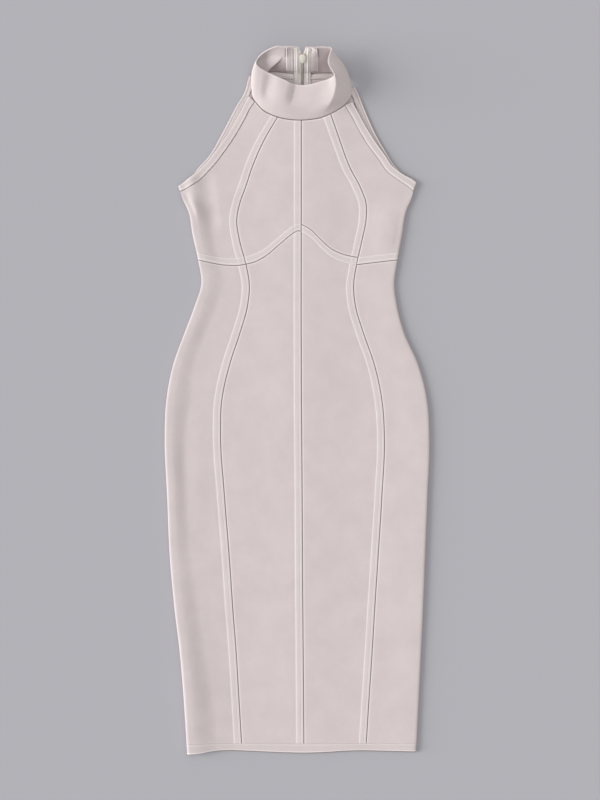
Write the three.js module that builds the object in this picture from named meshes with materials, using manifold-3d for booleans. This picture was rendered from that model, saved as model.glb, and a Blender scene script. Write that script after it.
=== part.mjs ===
// A sleeveless knit midi dress with a high standing collar, laid flat on its back.
// Millimetres, +Z up, +Y towards the collar. Left and right are those of somebody who looks down on it.
// The origin is the middle of the dress on the surface that it lies on.
import * as THREE from "three";
import { mergeVertices } from "three/addons/utils/BufferGeometryUtils.js";
import Module from "manifold-3d";

// Driving dimensions of the cloth
const WALL = 1.5; // panel thickness
const GAP = 0.3; // between pieces that are sewn together
const LAYER_GAP = 1.0; // air between the back and the front where the front lies lowest
const STRIP = 11.4; // width of the pressed seam allowance that shows as a raised strip
const STRIP_STEP = 0.9; // the slope at the strip's free edge
const STRIP_RISE = 0.6; // how far the strip stands above its panel
const BAND_WALL = 2.1; // armhole bands and hems are turned, so they are thicker
const ROLL_INSET = 6; // how far the side fold curls in from the outline
const HEM_TOP = -528; // the turned hem reaches up to here
const ARMPIT_Y = 326;
const BACK_X = 8.4; // the centre-back line, along the zip

// The dress's outline from the hem to the armpit. rollLeft and rollRight are half the heights of the side folds,
// and slope is how far in from the left edge the front has come down from the fold.
const OUTLINE = [
  { y: -543, left: -170.0, right: 184.0, rollLeft: 3.9, rollRight: 2.2, slope: 46 },
  { y: -528, left: -171.0, right: 184.9, rollLeft: 4.1, rollRight: 2.3, slope: 46 },
  { y: -469, left: -174.7, right: 187.9, rollLeft: 4.4, rollRight: 2.4, slope: 42 },
  { y: -384, left: -181.8, right: 192.1, rollLeft: 4.1, rollRight: 2.5, slope: 31 },
  { y: -322, left: -189.4, right: 195.0, rollLeft: 3.6, rollRight: 2.6, slope: 30 },
  { y: -240, left: -197.0, right: 198.2, rollLeft: 3.1, rollRight: 2.7, slope: 26 },
  { y: -144, left: -201.2, right: 202.0, rollLeft: 3.7, rollRight: 2.7, slope: 24 },
  { y: -55, left: -204.9, right: 204.9, rollLeft: 3.9, rollRight: 2.7, slope: 26 },
  { y: 3, left: -202.3, right: 201.3, rollLeft: 3.8, rollRight: 2.6, slope: 29 },
  { y: 61, left: -191.0, right: 186.5, rollLeft: 3.2, rollRight: 2.5, slope: 26 },
  { y: 106, left: -174.7, right: 166.3, rollLeft: 3.6, rollRight: 2.5, slope: 30 },
  { y: 152, left: -157.5, right: 154.2, rollLeft: 3.2, rollRight: 2.4, slope: 42 },
  { y: 183, left: -148.2, right: 150.4, rollLeft: 3.1, rollRight: 2.4, slope: 50 },
  { y: 216, left: -152.4, right: 154.8, rollLeft: 3.2, rollRight: 2.5, slope: 48 },
  { y: 259, left: -161.8, right: 162.6, rollLeft: 3.8, rollRight: 2.6, slope: 40 },
  { y: 298, left: -169.3, right: 169.8, rollLeft: 3.7, rollRight: 2.4, slope: 38 },
  { y: 314, left: -176.9, right: 176.6, rollLeft: 3.0, rollRight: 2.2, slope: 40 },
  { y: 326, left: -181.0, right: 179.8, rollLeft: 2.4, rollRight: 2.1, slope: 40 },
];
const SLOPE_RIGHT = 60;
const CORNER_STEPS = 40; // half steps towards the place where a panel's side meets its head or foot
const FOLD_COLUMNS = [0, 0.8, 2.6, ROLL_INSET, 10, 15, 22]; // a panel's columns, as distances from its side fold
const CURL_FADE = 26; // below the armpit the side fold comes up over this length

// The front lies over the zip, and at the neck over the seams there: how high, and from how far off to how near
const OVER_ZIP = { rise: 1.2, far: 90, near: 12 };
const OVER_NECK = { rise: 1.7, far: 110, near: 60, fromY: 370, toY: 450 };

// Across an armhole band from its turned edge: the distance, and how far the top face falls there
const BAND_EDGE = [
  { at: 0, drop: 0.9 },
  { at: 0.7, drop: 0.3 },
  { at: 2.2, drop: 0 },
];
const BAND_EDGE_LIFT = 0.3; // the turned edge stands off the layer below

// The turned hem: its rows up from the edge, the rounding of the edge, and its columns between the side folds
const HEM = { rows: [0, 0.8, 2.4], round: 0.7, columns: 9, back: 1.8 };

// The long seams of the front, from the hem to the collar
const LONG_SEAMS = [
  { y: -543, left: -84.9, centre: 10.7, right: 106.2 },
  { y: -469, left: -89.3, centre: 10.2, right: 110.8 },
  { y: -384, left: -94.4, centre: 9.5, right: 116.4 },
  { y: -322, left: -99.2, centre: 9.0, right: 120.1 },
  { y: -240, left: -104.8, centre: 8.4, right: 125.4 },
  { y: -144, left: -112.4, centre: 7.9, right: 131.4 },
  { y: -55, left: -118.3, centre: 7.3, right: 135.3 },
  { y: 3, left: -116.4, centre: 6.8, right: 131.4 },
  { y: 61, left: -103.4, centre: 6.7, right: 118.9 },
  { y: 106, left: -88.7, centre: 6.5, right: 103.2 },
  { y: 149, left: -76.6, centre: 6.4, right: 90.5 },
  { y: 183, left: -73.9, centre: 6.4, right: 87.7 },
  { y: 213, left: -78.9, centre: 6.5, right: 92.2 },
  { y: 251, left: -89.0, centre: 6.6, right: 100.6 },
  { y: 282, left: -93.3, centre: 6.6, right: 106.8 },
  { y: 309, left: -88.2, centre: 6.6, right: 106.6 },
  { y: 333, left: -79.6, centre: 6.6, right: 97.8 },
  { y: 363, left: -69.6, centre: 6.6, right: 82.0 },
  { y: 406, left: -50.6, centre: 6.6, right: 65.9 },
  { y: 442, left: -29.6, centre: 6.6, right: 53.3 },
];

// The underbust seam in its three stretches: left side with left centre, right centre, right side
const UNDERBUST_LEFT = [
  { x: -170, y: 223.5 },
  { x: -153, y: 219.9 },
  { x: -129, y: 214.8 },
  { x: -110, y: 212.0 },
  { x: -91, y: 211.7 },
  { x: -79, y: 213.7 },
  { x: -65, y: 217.3 },
  { x: -50, y: 225.1 },
  { x: -27, y: 244.1 },
  { x: -5, y: 261.9 },
  { x: 1, y: 265.0 },
  { x: 6.6, y: 264.5 },
];
const UNDERBUST_CENTRE_RIGHT = [
  { x: 6.6, y: 275.3 },
  { x: 21, y: 267.2 },
  { x: 36, y: 252.3 },
  { x: 54, y: 236.8 },
  { x: 74, y: 228.2 },
  { x: 95, y: 223.8 },
];
const UNDERBUST_SIDE_RIGHT = [
  { x: 92, y: 212.7 },
  { x: 128, y: 217.0 },
  { x: 155, y: 219.9 },
  { x: 170, y: 221.6 },
];

// Armhole bands from the armpit to the neck: the turned edge, and the seam that joins band and panel
const ARMHOLES = {
  front_left: [
    { edgeX: -184.0, edgeY: 334.6, seamX: -181.0, seamY: 326.0 },
    { edgeX: -178.0, edgeY: 339.0, seamX: -172.5, seamY: 329.6 },
    { edgeX: -165.4, edgeY: 348.9, seamX: -158.2, seamY: 338.2 },
    { edgeX: -143.5, edgeY: 368.4, seamX: -135.4, seamY: 359.0 },
    { edgeX: -121.8, edgeY: 395.6, seamX: -112.4, seamY: 387.4 },
    { edgeX: -104.5, edgeY: 420.5, seamX: -94.4, seamY: 414.2 },
    { edgeX: -91.1, edgeY: 444.2, seamX: -80.3, seamY: 438.8 },
    { edgeX: -81.2, edgeY: 463.0, seamX: -72.2, seamY: 454.8 },
    { edgeX: -75.6, edgeY: 474.6, seamX: -65.4, seamY: 464.6 },
  ],
  front_right: [
    { edgeX: 185.0, edgeY: 340.4, seamX: 179.8, seamY: 326.0 },
    { edgeX: 178.2, edgeY: 345.4, seamX: 172.6, seamY: 332.6 },
    { edgeX: 165.2, edgeY: 352.5, seamX: 159.0, seamY: 341.8 },
    { edgeX: 148.7, edgeY: 364.9, seamX: 140.4, seamY: 355.6 },
    { edgeX: 136.2, edgeY: 382.7, seamX: 126.8, seamY: 374.6 },
    { edgeX: 122.8, edgeY: 401.1, seamX: 112.4, seamY: 393.4 },
    { edgeX: 106.8, edgeY: 426.7, seamX: 96.2, seamY: 419.6 },
    { edgeX: 95.0, edgeY: 448.2, seamX: 84.2, seamY: 441.8 },
    { edgeX: 86.0, edgeY: 464.6, seamX: 73.6, seamY: 459.0 },
  ],
  back_left: [
    { edgeX: -182.8, edgeY: 334.2, seamX: -180.8, seamY: 326.0 },
    { edgeX: -171.0, edgeY: 343.6, seamX: -163.5, seamY: 332.6 },
    { edgeX: -153.6, edgeY: 363.0, seamX: -144.4, seamY: 354.6 },
    { edgeX: -137.5, edgeY: 380.8, seamX: -127.6, seamY: 373.8 },
    { edgeX: -118.6, edgeY: 413.1, seamX: -108.0, seamY: 407.0 },
    { edgeX: -104.5, edgeY: 439.7, seamX: -93.8, seamY: 434.0 },
    { edgeX: -94.1, edgeY: 459.7, seamX: -83.4, seamY: 454.0 },
    { edgeX: -87.0, edgeY: 470.9, seamX: -76.8, seamY: 467.0 },
    { edgeX: -80.8, edgeY: 483.3, seamX: -71.0, seamY: 481.0 },
    { edgeX: -77.2, edgeY: 496.3, seamX: -66.8, seamY: 492.4 },
    { edgeX: -74.0, edgeY: 508.6, seamX: -62.0, seamY: 499.0 },
  ],
  back_right: [
    { edgeX: 183.4, edgeY: 338.2, seamX: 179.6, seamY: 326.0 },
    { edgeX: 172.0, edgeY: 347.0, seamX: 165.0, seamY: 335.4 },
    { edgeX: 152.0, edgeY: 366.0, seamX: 143.6, seamY: 356.8 },
    { edgeX: 137.8, edgeY: 387.8, seamX: 127.6, seamY: 380.8 },
    { edgeX: 122.8, edgeY: 413.5, seamX: 112.2, seamY: 407.4 },
    { edgeX: 108.8, edgeY: 444.1, seamX: 98.0, seamY: 438.8 },
    { edgeX: 102.0, edgeY: 460.6, seamX: 91.2, seamY: 455.4 },
    { edgeX: 95.6, edgeY: 476.6, seamX: 86.0, seamY: 471.0 },
    { edgeX: 90.2, edgeY: 488.4, seamX: 80.2, seamY: 484.6 },
  ],
};

// Soft folds of the front: a ridge or trough along a line, this wide to each side and this high
const FRONT_FOLDS = [
  { x1: -150, y1: 322, x2: -122, y2: 236, half: 18, rise: -0.6 },
  { x1: 138, y1: 300, x2: 134, y2: 240, half: 30, rise: 1.1 },
  { x1: 8, y1: 60, x2: 10, y2: -545, half: 85, rise: 0.9 },
  { x1: -150, y1: -10, x2: -156, y2: -190, half: 22, rise: 0.4 },
  { x1: 150, y1: -100, x2: 146, y2: -330, half: 26, rise: 0.5 },
];

// The collar's sections, round from the left of the zip by the front to the right of it.
// x, y, z is the seam at its foot, rimX, rimY, rimZ its folded top edge, bow how far the wall swells out.
const COLLAR_WALL = 2.0;
const COLLAR = [
  { x: 7.2, y: 509.2, z: 1.9, rimX: 7.2, rimY: 542.6, rimZ: 35.5, bow: -3 },
  { x: -5.0, y: 510.0, z: 1.9, rimX: -6.0, rimY: 543.2, rimZ: 36.0, bow: -3 },
  { x: -18.7, y: 511.0, z: 1.9, rimX: -18.4, rimY: 543.5, rimZ: 36.0, bow: -2 },
  { x: -38.0, y: 512.2, z: 2.0, rimX: -33.7, rimY: 543.0, rimZ: 35.0, bow: 2 },
  { x: -50.5, y: 509.0, z: 2.2, rimX: -47.5, rimY: 538.0, rimZ: 28.0, bow: 6 },
  { x: -60.0, y: 501.2, z: 2.7, rimX: -57.2, rimY: 531.6, rimZ: 23.5, bow: 6 },
  { x: -65.6, y: 491.0, z: 3.5, rimX: -61.7, rimY: 524.8, rimZ: 21.5, bow: 5.5 },
  { x: -68.4, y: 480.4, z: 4.1, rimX: -62.0, rimY: 519.6, rimZ: 20.8, bow: 4.5 },
  { x: -67.6, y: 470.8, z: 4.6, rimX: -58.4, rimY: 515.2, rimZ: 20.5, bow: 4 },
  { x: -61.0, y: 461.4, z: 4.9, rimX: -47.7, rimY: 508.4, rimZ: 20.5, bow: 3 },
  { x: -53.5, y: 453.0, z: 5.0, rimX: -38.5, rimY: 504.2, rimZ: 20.5, bow: 3 },
  { x: -40.4, y: 445.4, z: 5.0, rimX: -29.3, rimY: 500.0, rimZ: 20.5, bow: 3.5 },
  { x: -26.4, y: 440.4, z: 5.0, rimX: -18.5, rimY: 495.3, rimZ: 20.5, bow: 3 },
  { x: -11.0, y: 437.5, z: 5.0, rimX: -9.3, rimY: 490.3, rimZ: 20.5, bow: 2 },
  { x: 7.6, y: 436.5, z: 5.0, rimX: 7.6, rimY: 487.1, rimZ: 20.5, bow: 1 },
  { x: 22.3, y: 437.7, z: 5.0, rimX: 22.2, rimY: 488.7, rimZ: 21.5, bow: 1 },
  { x: 38.8, y: 441.0, z: 5.0, rimX: 35.2, rimY: 492.0, rimZ: 23.5, bow: 1.5 },
  { x: 52.0, y: 446.6, z: 5.0, rimX: 46.2, rimY: 494.8, rimZ: 26.5, bow: 2.5 },
  { x: 66.0, y: 454.6, z: 4.9, rimX: 52.6, rimY: 497.6, rimZ: 30.0, bow: 3.5 },
  { x: 76.6, y: 463.4, z: 4.7, rimX: 55.2, rimY: 501.6, rimZ: 33.0, bow: 4 },
  { x: 83.0, y: 473.0, z: 4.3, rimX: 52.2, rimY: 506.4, rimZ: 35.0, bow: 5 },
  { x: 84.8, y: 482.6, z: 3.8, rimX: 48.1, rimY: 512.8, rimZ: 37.0, bow: 7 },
  { x: 82.6, y: 492.6, z: 3.2, rimX: 46.7, rimY: 520.2, rimZ: 38.0, bow: 9 },
  { x: 75.4, y: 502.6, z: 2.6, rimX: 49.0, rimY: 529.4, rimZ: 38.5, bow: 9 },
  { x: 63.4, y: 509.0, z: 2.1, rimX: 52.4, rimY: 539.4, rimZ: 38.5, bow: 6 },
  { x: 47.9, y: 510.6, z: 1.9, rimX: 42.6, rimY: 542.2, rimZ: 38.0, bow: 1 },
  { x: 29.3, y: 510.2, z: 1.9, rimX: 27.4, rimY: 542.1, rimZ: 37.0, bow: -2 },
  { x: 20.0, y: 509.6, z: 1.9, rimX: 20.2, rimY: 542.3, rimZ: 36.0, bow: -3 },
  { x: 9.6, y: 509.2, z: 1.9, rimX: 9.6, rimY: 542.6, rimZ: 35.5, bow: -3 },
];
const BACK_OF_COLLAR_Y = 490;
const COLLAR_STEPS = 92;
const COLLAR_ROWS = 9;
const RIM_THIN = 0.7; // the wall's share that is left at the folded top edge
const COLLAR_FRONT_ROWS = [8, 20]; // the sections whose foot lies on the front
const NECK_BACK_LEFT_ROWS = [0, 5]; // the sections whose foot lies on the back
const NECK_BACK_RIGHT_ROWS = [23, 28];

// Folds across the collar's front. foot and rim are its places at the two edges, as distances round the foot from
// the zip, left and right its widths to each side. It comes in above from and goes out below to, as shares of the
// height. crease is 1 for a sharp line and 0 for a soft dent. A negative depth stands out.
const COLLAR_FOLDS = [
  { foot: 128, rim: 122, left: 13, right: 30, from: 0.15, to: 1.1, depth: 2.6, crease: 0 },
  { foot: 167, rim: 179, left: 18, right: 46, from: 0.3, to: 1.6, depth: 3.8, crease: 1 },
  { foot: 220, rim: 266, left: 38, right: 38, from: 0.05, to: 1.8, depth: -4.4, crease: 1 },
];
const FOLD_IN = 0.35;
const FOLD_OUT = 0.25;

// The zip
const ZIP_END_Y = 20; // it opens the back down to the hip
const TAPE_WALL = 1.0;
const TAPE_WIDTH = 10.8;
const CHAIN_WIDTH = 3.0;
const CHAIN_WALL = 1.6;
const TAPE_CLEAR = 1.8; // from the centre line to the tape's edge
const NOTCH = { from: 0.78, half: 3.8, reach: 11 }; // the collar's top corners fall apart above the slider
const FACING = { from: 13.2, width: 11.6, wall: 1.0, lift: 4.5 }; // turned-in edge beside the tape
const NECK_ALLOWANCE = { below: 2.2, width: 8.5, wall: 1.0 }; // turned down inside the back of the neck
const BODY_STATIONS = [ZIP_END_Y, 120, 220, 320, 420, 497]; // the ribbons' rows up the back panel
const TAPE_STATIONS = [0.06, 0.2, 0.35, 0.5, 0.65, 0.8, 0.94]; // and up the collar, as shares of its height
const CHAIN_STATIONS = [0.06, 0.2, 0.35, 0.47];
const FACING_STATIONS = [0.1, 0.3, 0.5, 0.65, 0.8, 0.9, 0.99];
const SLIDER = { low: 0.5, high: 0.76 };
const SLIDER_V = (SLIDER.low + SLIDER.high) / 2;

const { lerp, smoothstep } = THREE.MathUtils;
const smooth = (x, a, b) => (a < b ? smoothstep(x, a, b) : 1 - smoothstep(x, b, a));
const vec = (x, y, z) => new THREE.Vector3(x, y, z);
const evenly = (from, to, count) => Array.from({ length: count }, (_, k) => lerp(from, to, k / (count - 1)));

// A smooth curve through a table: column out as a function of column by, straight past its ends
function curve(rows, by, out) {
  const r = [...rows].sort((a, b) => a[by] - b[by]);
  const rise = (i) => (r[i + 1][out] - r[i][out]) / (r[i + 1][by] - r[i][by]);
  const last = r.length - 1;
  const slope = r.map((_, i) => {
    if (i === 0) return rise(0);
    if (i === last) return rise(last - 1);
    const before = r[i][by] - r[i - 1][by];
    const after = r[i + 1][by] - r[i][by];
    return (rise(i - 1) * after + rise(i) * before) / (before + after);
  });
  return (t) => {
    if (t <= r[0][by]) return r[0][out] + slope[0] * (t - r[0][by]);
    if (t >= r[last][by]) return r[last][out] + slope[last] * (t - r[last][by]);
    const i = r.findIndex((row, k) => k < last && t < r[k + 1][by]);
    const h = r[i + 1][by] - r[i][by];
    const s = (t - r[i][by]) / h;
    const ends = r[i][out] * (1 + 2 * s) * (1 - s) ** 2 + r[i + 1][out] * s * s * (3 - 2 * s);
    return ends + h * s * (1 - s) * (slope[i] * (1 - s) - slope[i + 1] * s);
  };
}

const outlineLeft = curve(OUTLINE, "y", "left");
const outlineRight = curve(OUTLINE, "y", "right");
const rollLeft = curve(OUTLINE, "y", "rollLeft");
const rollRight = curve(OUTLINE, "y", "rollRight");
const slopeLeft = curve(OUTLINE, "y", "slope");
const seamLeft = curve(LONG_SEAMS, "y", "left");
const seamCentre = curve(LONG_SEAMS, "y", "centre");
const seamRight = curve(LONG_SEAMS, "y", "right");
const underbustLeft = curve(UNDERBUST_LEFT, "x", "y");
const underbustCentreRight = curve(UNDERBUST_CENTRE_RIGHT, "x", "y");
const underbustSideRight = curve(UNDERBUST_SIDE_RIGHT, "x", "y");
const collarFront = curve(COLLAR.slice(COLLAR_FRONT_ROWS[0], COLLAR_FRONT_ROWS[1] + 1), "x", "y");
const neckBackLeft = curve(COLLAR.slice(NECK_BACK_LEFT_ROWS[0], NECK_BACK_LEFT_ROWS[1] + 1), "x", "y");
const neckBackRight = curve(COLLAR.slice(NECK_BACK_RIGHT_ROWS[0], NECK_BACK_RIGHT_ROWS[1] + 1), "x", "y");
const armholeSeam = (name) => curve(ARMHOLES[name], "seamY", "seamX");

// The distance from a point in plan to a line's segment, and how far along the segment it falls
function toSegment(x, y, f) {
  const dx = f.x2 - f.x1;
  const dy = f.y2 - f.y1;
  const t = THREE.MathUtils.clamp(((x - f.x1) * dx + (y - f.y1) * dy) / (dx * dx + dy * dy), 0, 1);
  return { off: Math.hypot(x - f.x1 - t * dx, y - f.y1 - t * dy), t };
}

// How the folds raise or lower the front at a point in plan
function folds(x, y) {
  let rise = 0;
  for (const f of FRONT_FOLDS) {
    const { off, t } = toSegment(x, y, f);
    const across = off < f.half ? (1 + Math.cos((Math.PI * off) / f.half)) / 2 : 0;
    rise += f.rise * across * Math.min(1, 6 * Math.min(t + 0.05, 1.05 - t));
  }
  return rise;
}

// How much of the side fold's curl is there at a height
const curlShare = (y) => smooth(y, ARMPIT_Y - 1, ARMPIT_Y - CURL_FADE);

// How far the front rises towards a side fold, at this distance in from the side's edge
function sideCrest(inset, half, slope) {
  return 2 * (half - WALL - LAYER_GAP / 2) * smooth(Math.max(inset, ROLL_INSET), slope, ROLL_INSET);
}

// The height of the front's inner face away from the side folds
function frontInside(x, y) {
  const off = Math.abs(x - BACK_X);
  const zip = OVER_ZIP.rise * smooth(off, OVER_ZIP.far, OVER_ZIP.near) * smooth(y, ZIP_END_Y - 90, ZIP_END_Y);
  const atNeck = smooth(y, OVER_NECK.fromY, OVER_NECK.toY) * smooth(off, OVER_NECK.far, OVER_NECK.near);
  const inLeft = x - outlineLeft(y);
  const inRight = outlineRight(y) - x;
  const crest = sideCrest(inLeft, rollLeft(y), slopeLeft(y)) + sideCrest(inRight, rollRight(y), SLOPE_RIGHT);
  const soft = folds(x, y) * smooth(Math.min(inLeft, inRight), ROLL_INSET, ROLL_INSET + 8);
  return WALL + LAYER_GAP + OVER_NECK.rise * atNeck + zip + crest * smooth(y, ARMPIT_Y, ARMPIT_Y - 20) + soft;
}

// One closed wall between two grids of points, row by row; its faces are turned to point out
function wall(name, material, outer, inner) {
  const rows = outer.length;
  const columns = outer[0].length;
  const positions = [];
  for (const p of [outer, inner].flat(2)) positions.push(p.x, p.y, p.z);
  const at = (side, i, j) => side * rows * columns + i * columns + j;
  const index = [];
  const quad = (a, b, c, d) => index.push(a, b, c, a, c, d);
  for (let i = 0; i < rows - 1; i++) {
    for (let j = 0; j < columns - 1; j++) {
      quad(at(0, i, j), at(0, i, j + 1), at(0, i + 1, j + 1), at(0, i + 1, j));
      quad(at(1, i, j), at(1, i + 1, j), at(1, i + 1, j + 1), at(1, i, j + 1));
    }
  }
  const rim = [];
  for (let j = 0; j < columns - 1; j++) rim.push([0, j]);
  for (let i = 0; i < rows - 1; i++) rim.push([i, columns - 1]);
  for (let j = columns - 1; j > 0; j--) rim.push([rows - 1, j]);
  for (let i = rows - 1; i > 0; i--) rim.push([i, 0]);
  rim.forEach(([i, j], k) => {
    const [m, n] = rim[(k + 1) % rim.length];
    quad(at(0, m, n), at(0, i, j), at(1, i, j), at(1, m, n));
  });
  const corner = (k) => new THREE.Vector3().fromArray(positions, 3 * index[k]);
  let volume = 0;
  for (let k = 0; k < index.length; k += 3) volume += corner(k).dot(corner(k + 1).cross(corner(k + 2)));
  if (volume < 0) index.reverse();
  const geometry = new THREE.BufferGeometry();
  geometry.setAttribute("position", new THREE.Float32BufferAttribute(positions, 3));
  geometry.setIndex(index);
  geometry.computeVertexNormals();
  return named(name, geometry, material);
}

function named(name, geometry, material) {
  const mesh = new THREE.Mesh(geometry, material);
  mesh.name = name;
  return mesh;
}

// The rows of a panel between a left and a right boundary x(y) and a lower and an upper boundary y(x).
// levels gives the left and right heights of the rows between. foot and head add a raised strip's rows there.
function panelRows(panel) {
  const { left, right, bottom, top, levels, foot, head } = panel;
  const corner = (side, edge) => {
    let y = edge(side(0));
    for (let k = 0; k < CORNER_STEPS; k++) y += (edge(side(y)) - y) / 2;
    return y;
  };
  const low = { left: corner(left, bottom), right: corner(right, bottom) };
  const high = { left: corner(left, top), right: corner(right, top) };
  const bend = (edge, ends) => (u) => {
    const x = lerp(left(ends.left), right(ends.right), u);
    return edge(x) - lerp(ends.left, ends.right, u);
  };
  const atFoot = bend(bottom, low);
  const atHead = bend(top, high);
  const row = (ends, by, nearFoot, nearHead, raise) => {
    const yl = ends.left + by;
    const yr = ends.right + by;
    const sag = (u) => nearFoot * atFoot(u) + nearHead * atHead(u);
    return { a: vec(left(yl), yl, 0), b: vec(right(yr), yr, 0), sag, raise };
  };
  const between = levels.map((ends) => {
    const nearFoot = smooth(ends.left - low.left, 90, STRIP);
    const nearHead = smooth(high.left - ends.left, 70, STRIP);
    return row(ends, 0, nearFoot, nearHead, 0);
  });
  const wide = STRIP + STRIP_STEP;
  const footRows = foot ? [row(low, STRIP, 1, 0, STRIP_RISE), row(low, wide, 1, 0, 0)] : [];
  const headRows = head ? [row(high, -wide, 0, 1, 0), row(high, -STRIP, 0, 1, STRIP_RISE)] : [];
  const first = row(low, 0, 1, 0, foot ? STRIP_RISE : 0);
  const last = row(high, 0, 0, 1, head ? STRIP_RISE : 0);
  return [first, ...footRows, ...between, ...headRows, last];
}

// The places of a row's columns, as distances from its side edge
function columns(length, edge, strip, count) {
  const fold = edge ? FOLD_COLUMNS : [0];
  const last = strip ? [length - strip.wide - strip.step, length - strip.wide, length] : [length];
  const from = fold[fold.length - 1];
  const middle = Array.from({ length: count - 1 }, (_, i) => lerp(from, last[0], (i + 1) / count));
  return [...fold, ...middle, ...last];
}

// A front panel. edge is "left", "right" or nothing: the side that curls round to the side seam.
// strip is "left" or "right", the seam that its raised strip lies along.
function frontPanel(name, material, panel) {
  const outer = [];
  const inner = [];
  for (const { a, b, sag, raise: rowRaised } of panelRows(panel)) {
    const mirrored = panel.edge === "right" || (!panel.edge && panel.strip === "left");
    const from = mirrored ? b : a;
    const to = mirrored ? a : b;
    const along = to.clone().sub(from);
    const length = along.length();
    const seam = panel.strip === "right" ? panel.right : panel.left;
    const seamEnd = panel.strip === "right" ? b : a;
    const tangent = vec(seam(seamEnd.y + 1) - seam(seamEnd.y - 1), 2, 0).normalize();
    along.normalize();
    const slant = Math.abs(along.clone().cross(tangent).z);
    const stretch = 1 / Math.max(0.5, slant);
    const wide = Math.min(STRIP * stretch, length * 0.45);
    const strip = panel.strip && { wide, step: STRIP_STEP * stretch };
    const places = columns(length, panel.edge, strip, panel.count);
    const share = panel.edge ? curlShare(from.y) : 0;
    const strips = panel.strip ? places.length - 2 : Infinity;
    const outerRow = [];
    const innerRow = [];
    places.forEach((d, j) => {
      const p = from.clone().addScaledVector(along, d);
      p.y += sag(mirrored ? 1 - d / length : d / length);
      const raise = j >= strips ? STRIP_RISE : rowRaised;
      const z = frontInside(p.x, p.y);
      const o = vec(p.x, p.y, z + WALL + raise);
      const i = vec(p.x, p.y, z);
      if (d < ROLL_INSET && share > 0) curl(o, i, from, along, d, share, 1, raise);
      outerRow.push(o);
      innerRow.push(i);
    });
    outer.push(outerRow);
    inner.push(innerRow);
  }
  return wall(name, material, outer, inner);
}

// Bends a wall's two faces round the side fold, up to the seam at its middle height. turn is 1 above and -1 below.
function curl(o, i, from, along, d, share, turn, raise) {
  const half = from.x < 0 ? rollLeft(from.y) : rollRight(from.y);
  const cos = 1 - d / ROLL_INSET;
  const sin = Math.sqrt(1 - cos * cos);
  const clear = GAP / 2;
  const outerZ = half + turn * (clear + (half + raise - clear) * sin);
  const innerZ = half + turn * (clear + (half - WALL - clear) * sin);
  const innerAt = from.clone().addScaledVector(along, ROLL_INSET - (ROLL_INSET - WALL) * cos);
  o.z = lerp(o.z, outerZ, share);
  i.z = lerp(i.z, innerZ, share);
  i.x = lerp(i.x, innerAt.x, share);
  i.y = lerp(i.y, innerAt.y, share);
}

// A back panel: flat below, curled up at its side
function backPanel(name, material, panel) {
  const outer = [];
  const inner = [];
  for (const { a, b, sag } of panelRows(panel)) {
    const from = panel.edge === "right" ? b : a;
    const to = panel.edge === "right" ? a : b;
    const along = to.clone().sub(from);
    const length = along.length();
    along.normalize();
    const share = curlShare(from.y);
    const outerRow = [];
    const innerRow = [];
    for (const d of columns(length, true, false, panel.count)) {
      const p = from.clone().addScaledVector(along, d);
      p.y += sag(from === b ? 1 - d / length : d / length);
      const o = vec(p.x, p.y, 0);
      const i = vec(p.x, p.y, WALL);
      if (d < ROLL_INSET && share > 0) curl(o, i, from, along, d, share, -1, 0);
      outerRow.push(o);
      innerRow.push(i);
    }
    outer.push(outerRow);
    inner.push(innerRow);
  }
  return wall(name, material, outer, inner);
}

// An armhole band between its turned edge and its seam; its top face falls off at the edge
function band(name, material, rows, floor) {
  const outer = [];
  const inner = [];
  for (const row of rows) {
    const edge = vec(row.edgeX, row.edgeY, 0);
    const across = vec(row.seamX, row.seamY, 0).sub(edge);
    const width = across.length() - GAP;
    across.normalize();
    const outerRow = [];
    const innerRow = [];
    for (const { at, drop } of [...BAND_EDGE, { at: width, drop: 0 }]) {
      const { x, y } = edge.clone().addScaledVector(across, at);
      outerRow.push(vec(x, y, floor(x, y) + BAND_WALL - drop));
      innerRow.push(vec(x, y, floor(x, y) + (at ? 0 : BAND_EDGE_LIFT)));
    }
    outer.push(outerRow);
    inner.push(innerRow);
  }
  return wall(name, material, outer, inner);
}

// A turned hem across the whole width, front or back
function hem(name, material, turn) {
  const outer = [];
  const inner = [];
  const low = OUTLINE[0].y;
  const last = FOLD_COLUMNS[FOLD_COLUMNS.length - 1];
  for (const y of [...HEM.rows.map((up) => low + up), HEM_TOP - GAP]) {
    const a = vec(outlineLeft(y), y, 0);
    const b = vec(outlineRight(y), y, 0);
    const width = b.x - a.x;
    const middle = evenly(last, width - last, HEM.columns + 2).slice(1, -1);
    const places = [...FOLD_COLUMNS, ...middle, ...FOLD_COLUMNS.map((d) => width - d).reverse()];
    const rounded = HEM.round * smooth(y, low + HEM.rows[2], low);
    const raise = turn > 0 ? BAND_WALL - WALL - rounded : 0;
    const outerRow = [];
    const innerRow = [];
    for (const d of places) {
      const inset = Math.min(d, width - d);
      const from = d < width / 2 ? a : b;
      const along = vec(d < width / 2 ? 1 : -1, 0, 0);
      const x = a.x + d;
      const z = turn > 0 ? frontInside(x, y) : 0;
      const o = vec(x, y, turn > 0 ? z + BAND_WALL - rounded : 0);
      const i = vec(x, y, turn > 0 ? z : HEM.back);
      if (inset < ROLL_INSET) curl(o, i, from, along, inset, 1, turn, raise);
      outerRow.push(o);
      innerRow.push(i);
    }
    outer.push(outerRow);
    inner.push(innerRow);
  }
  return wall(name, material, outer, inner);
}

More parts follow.
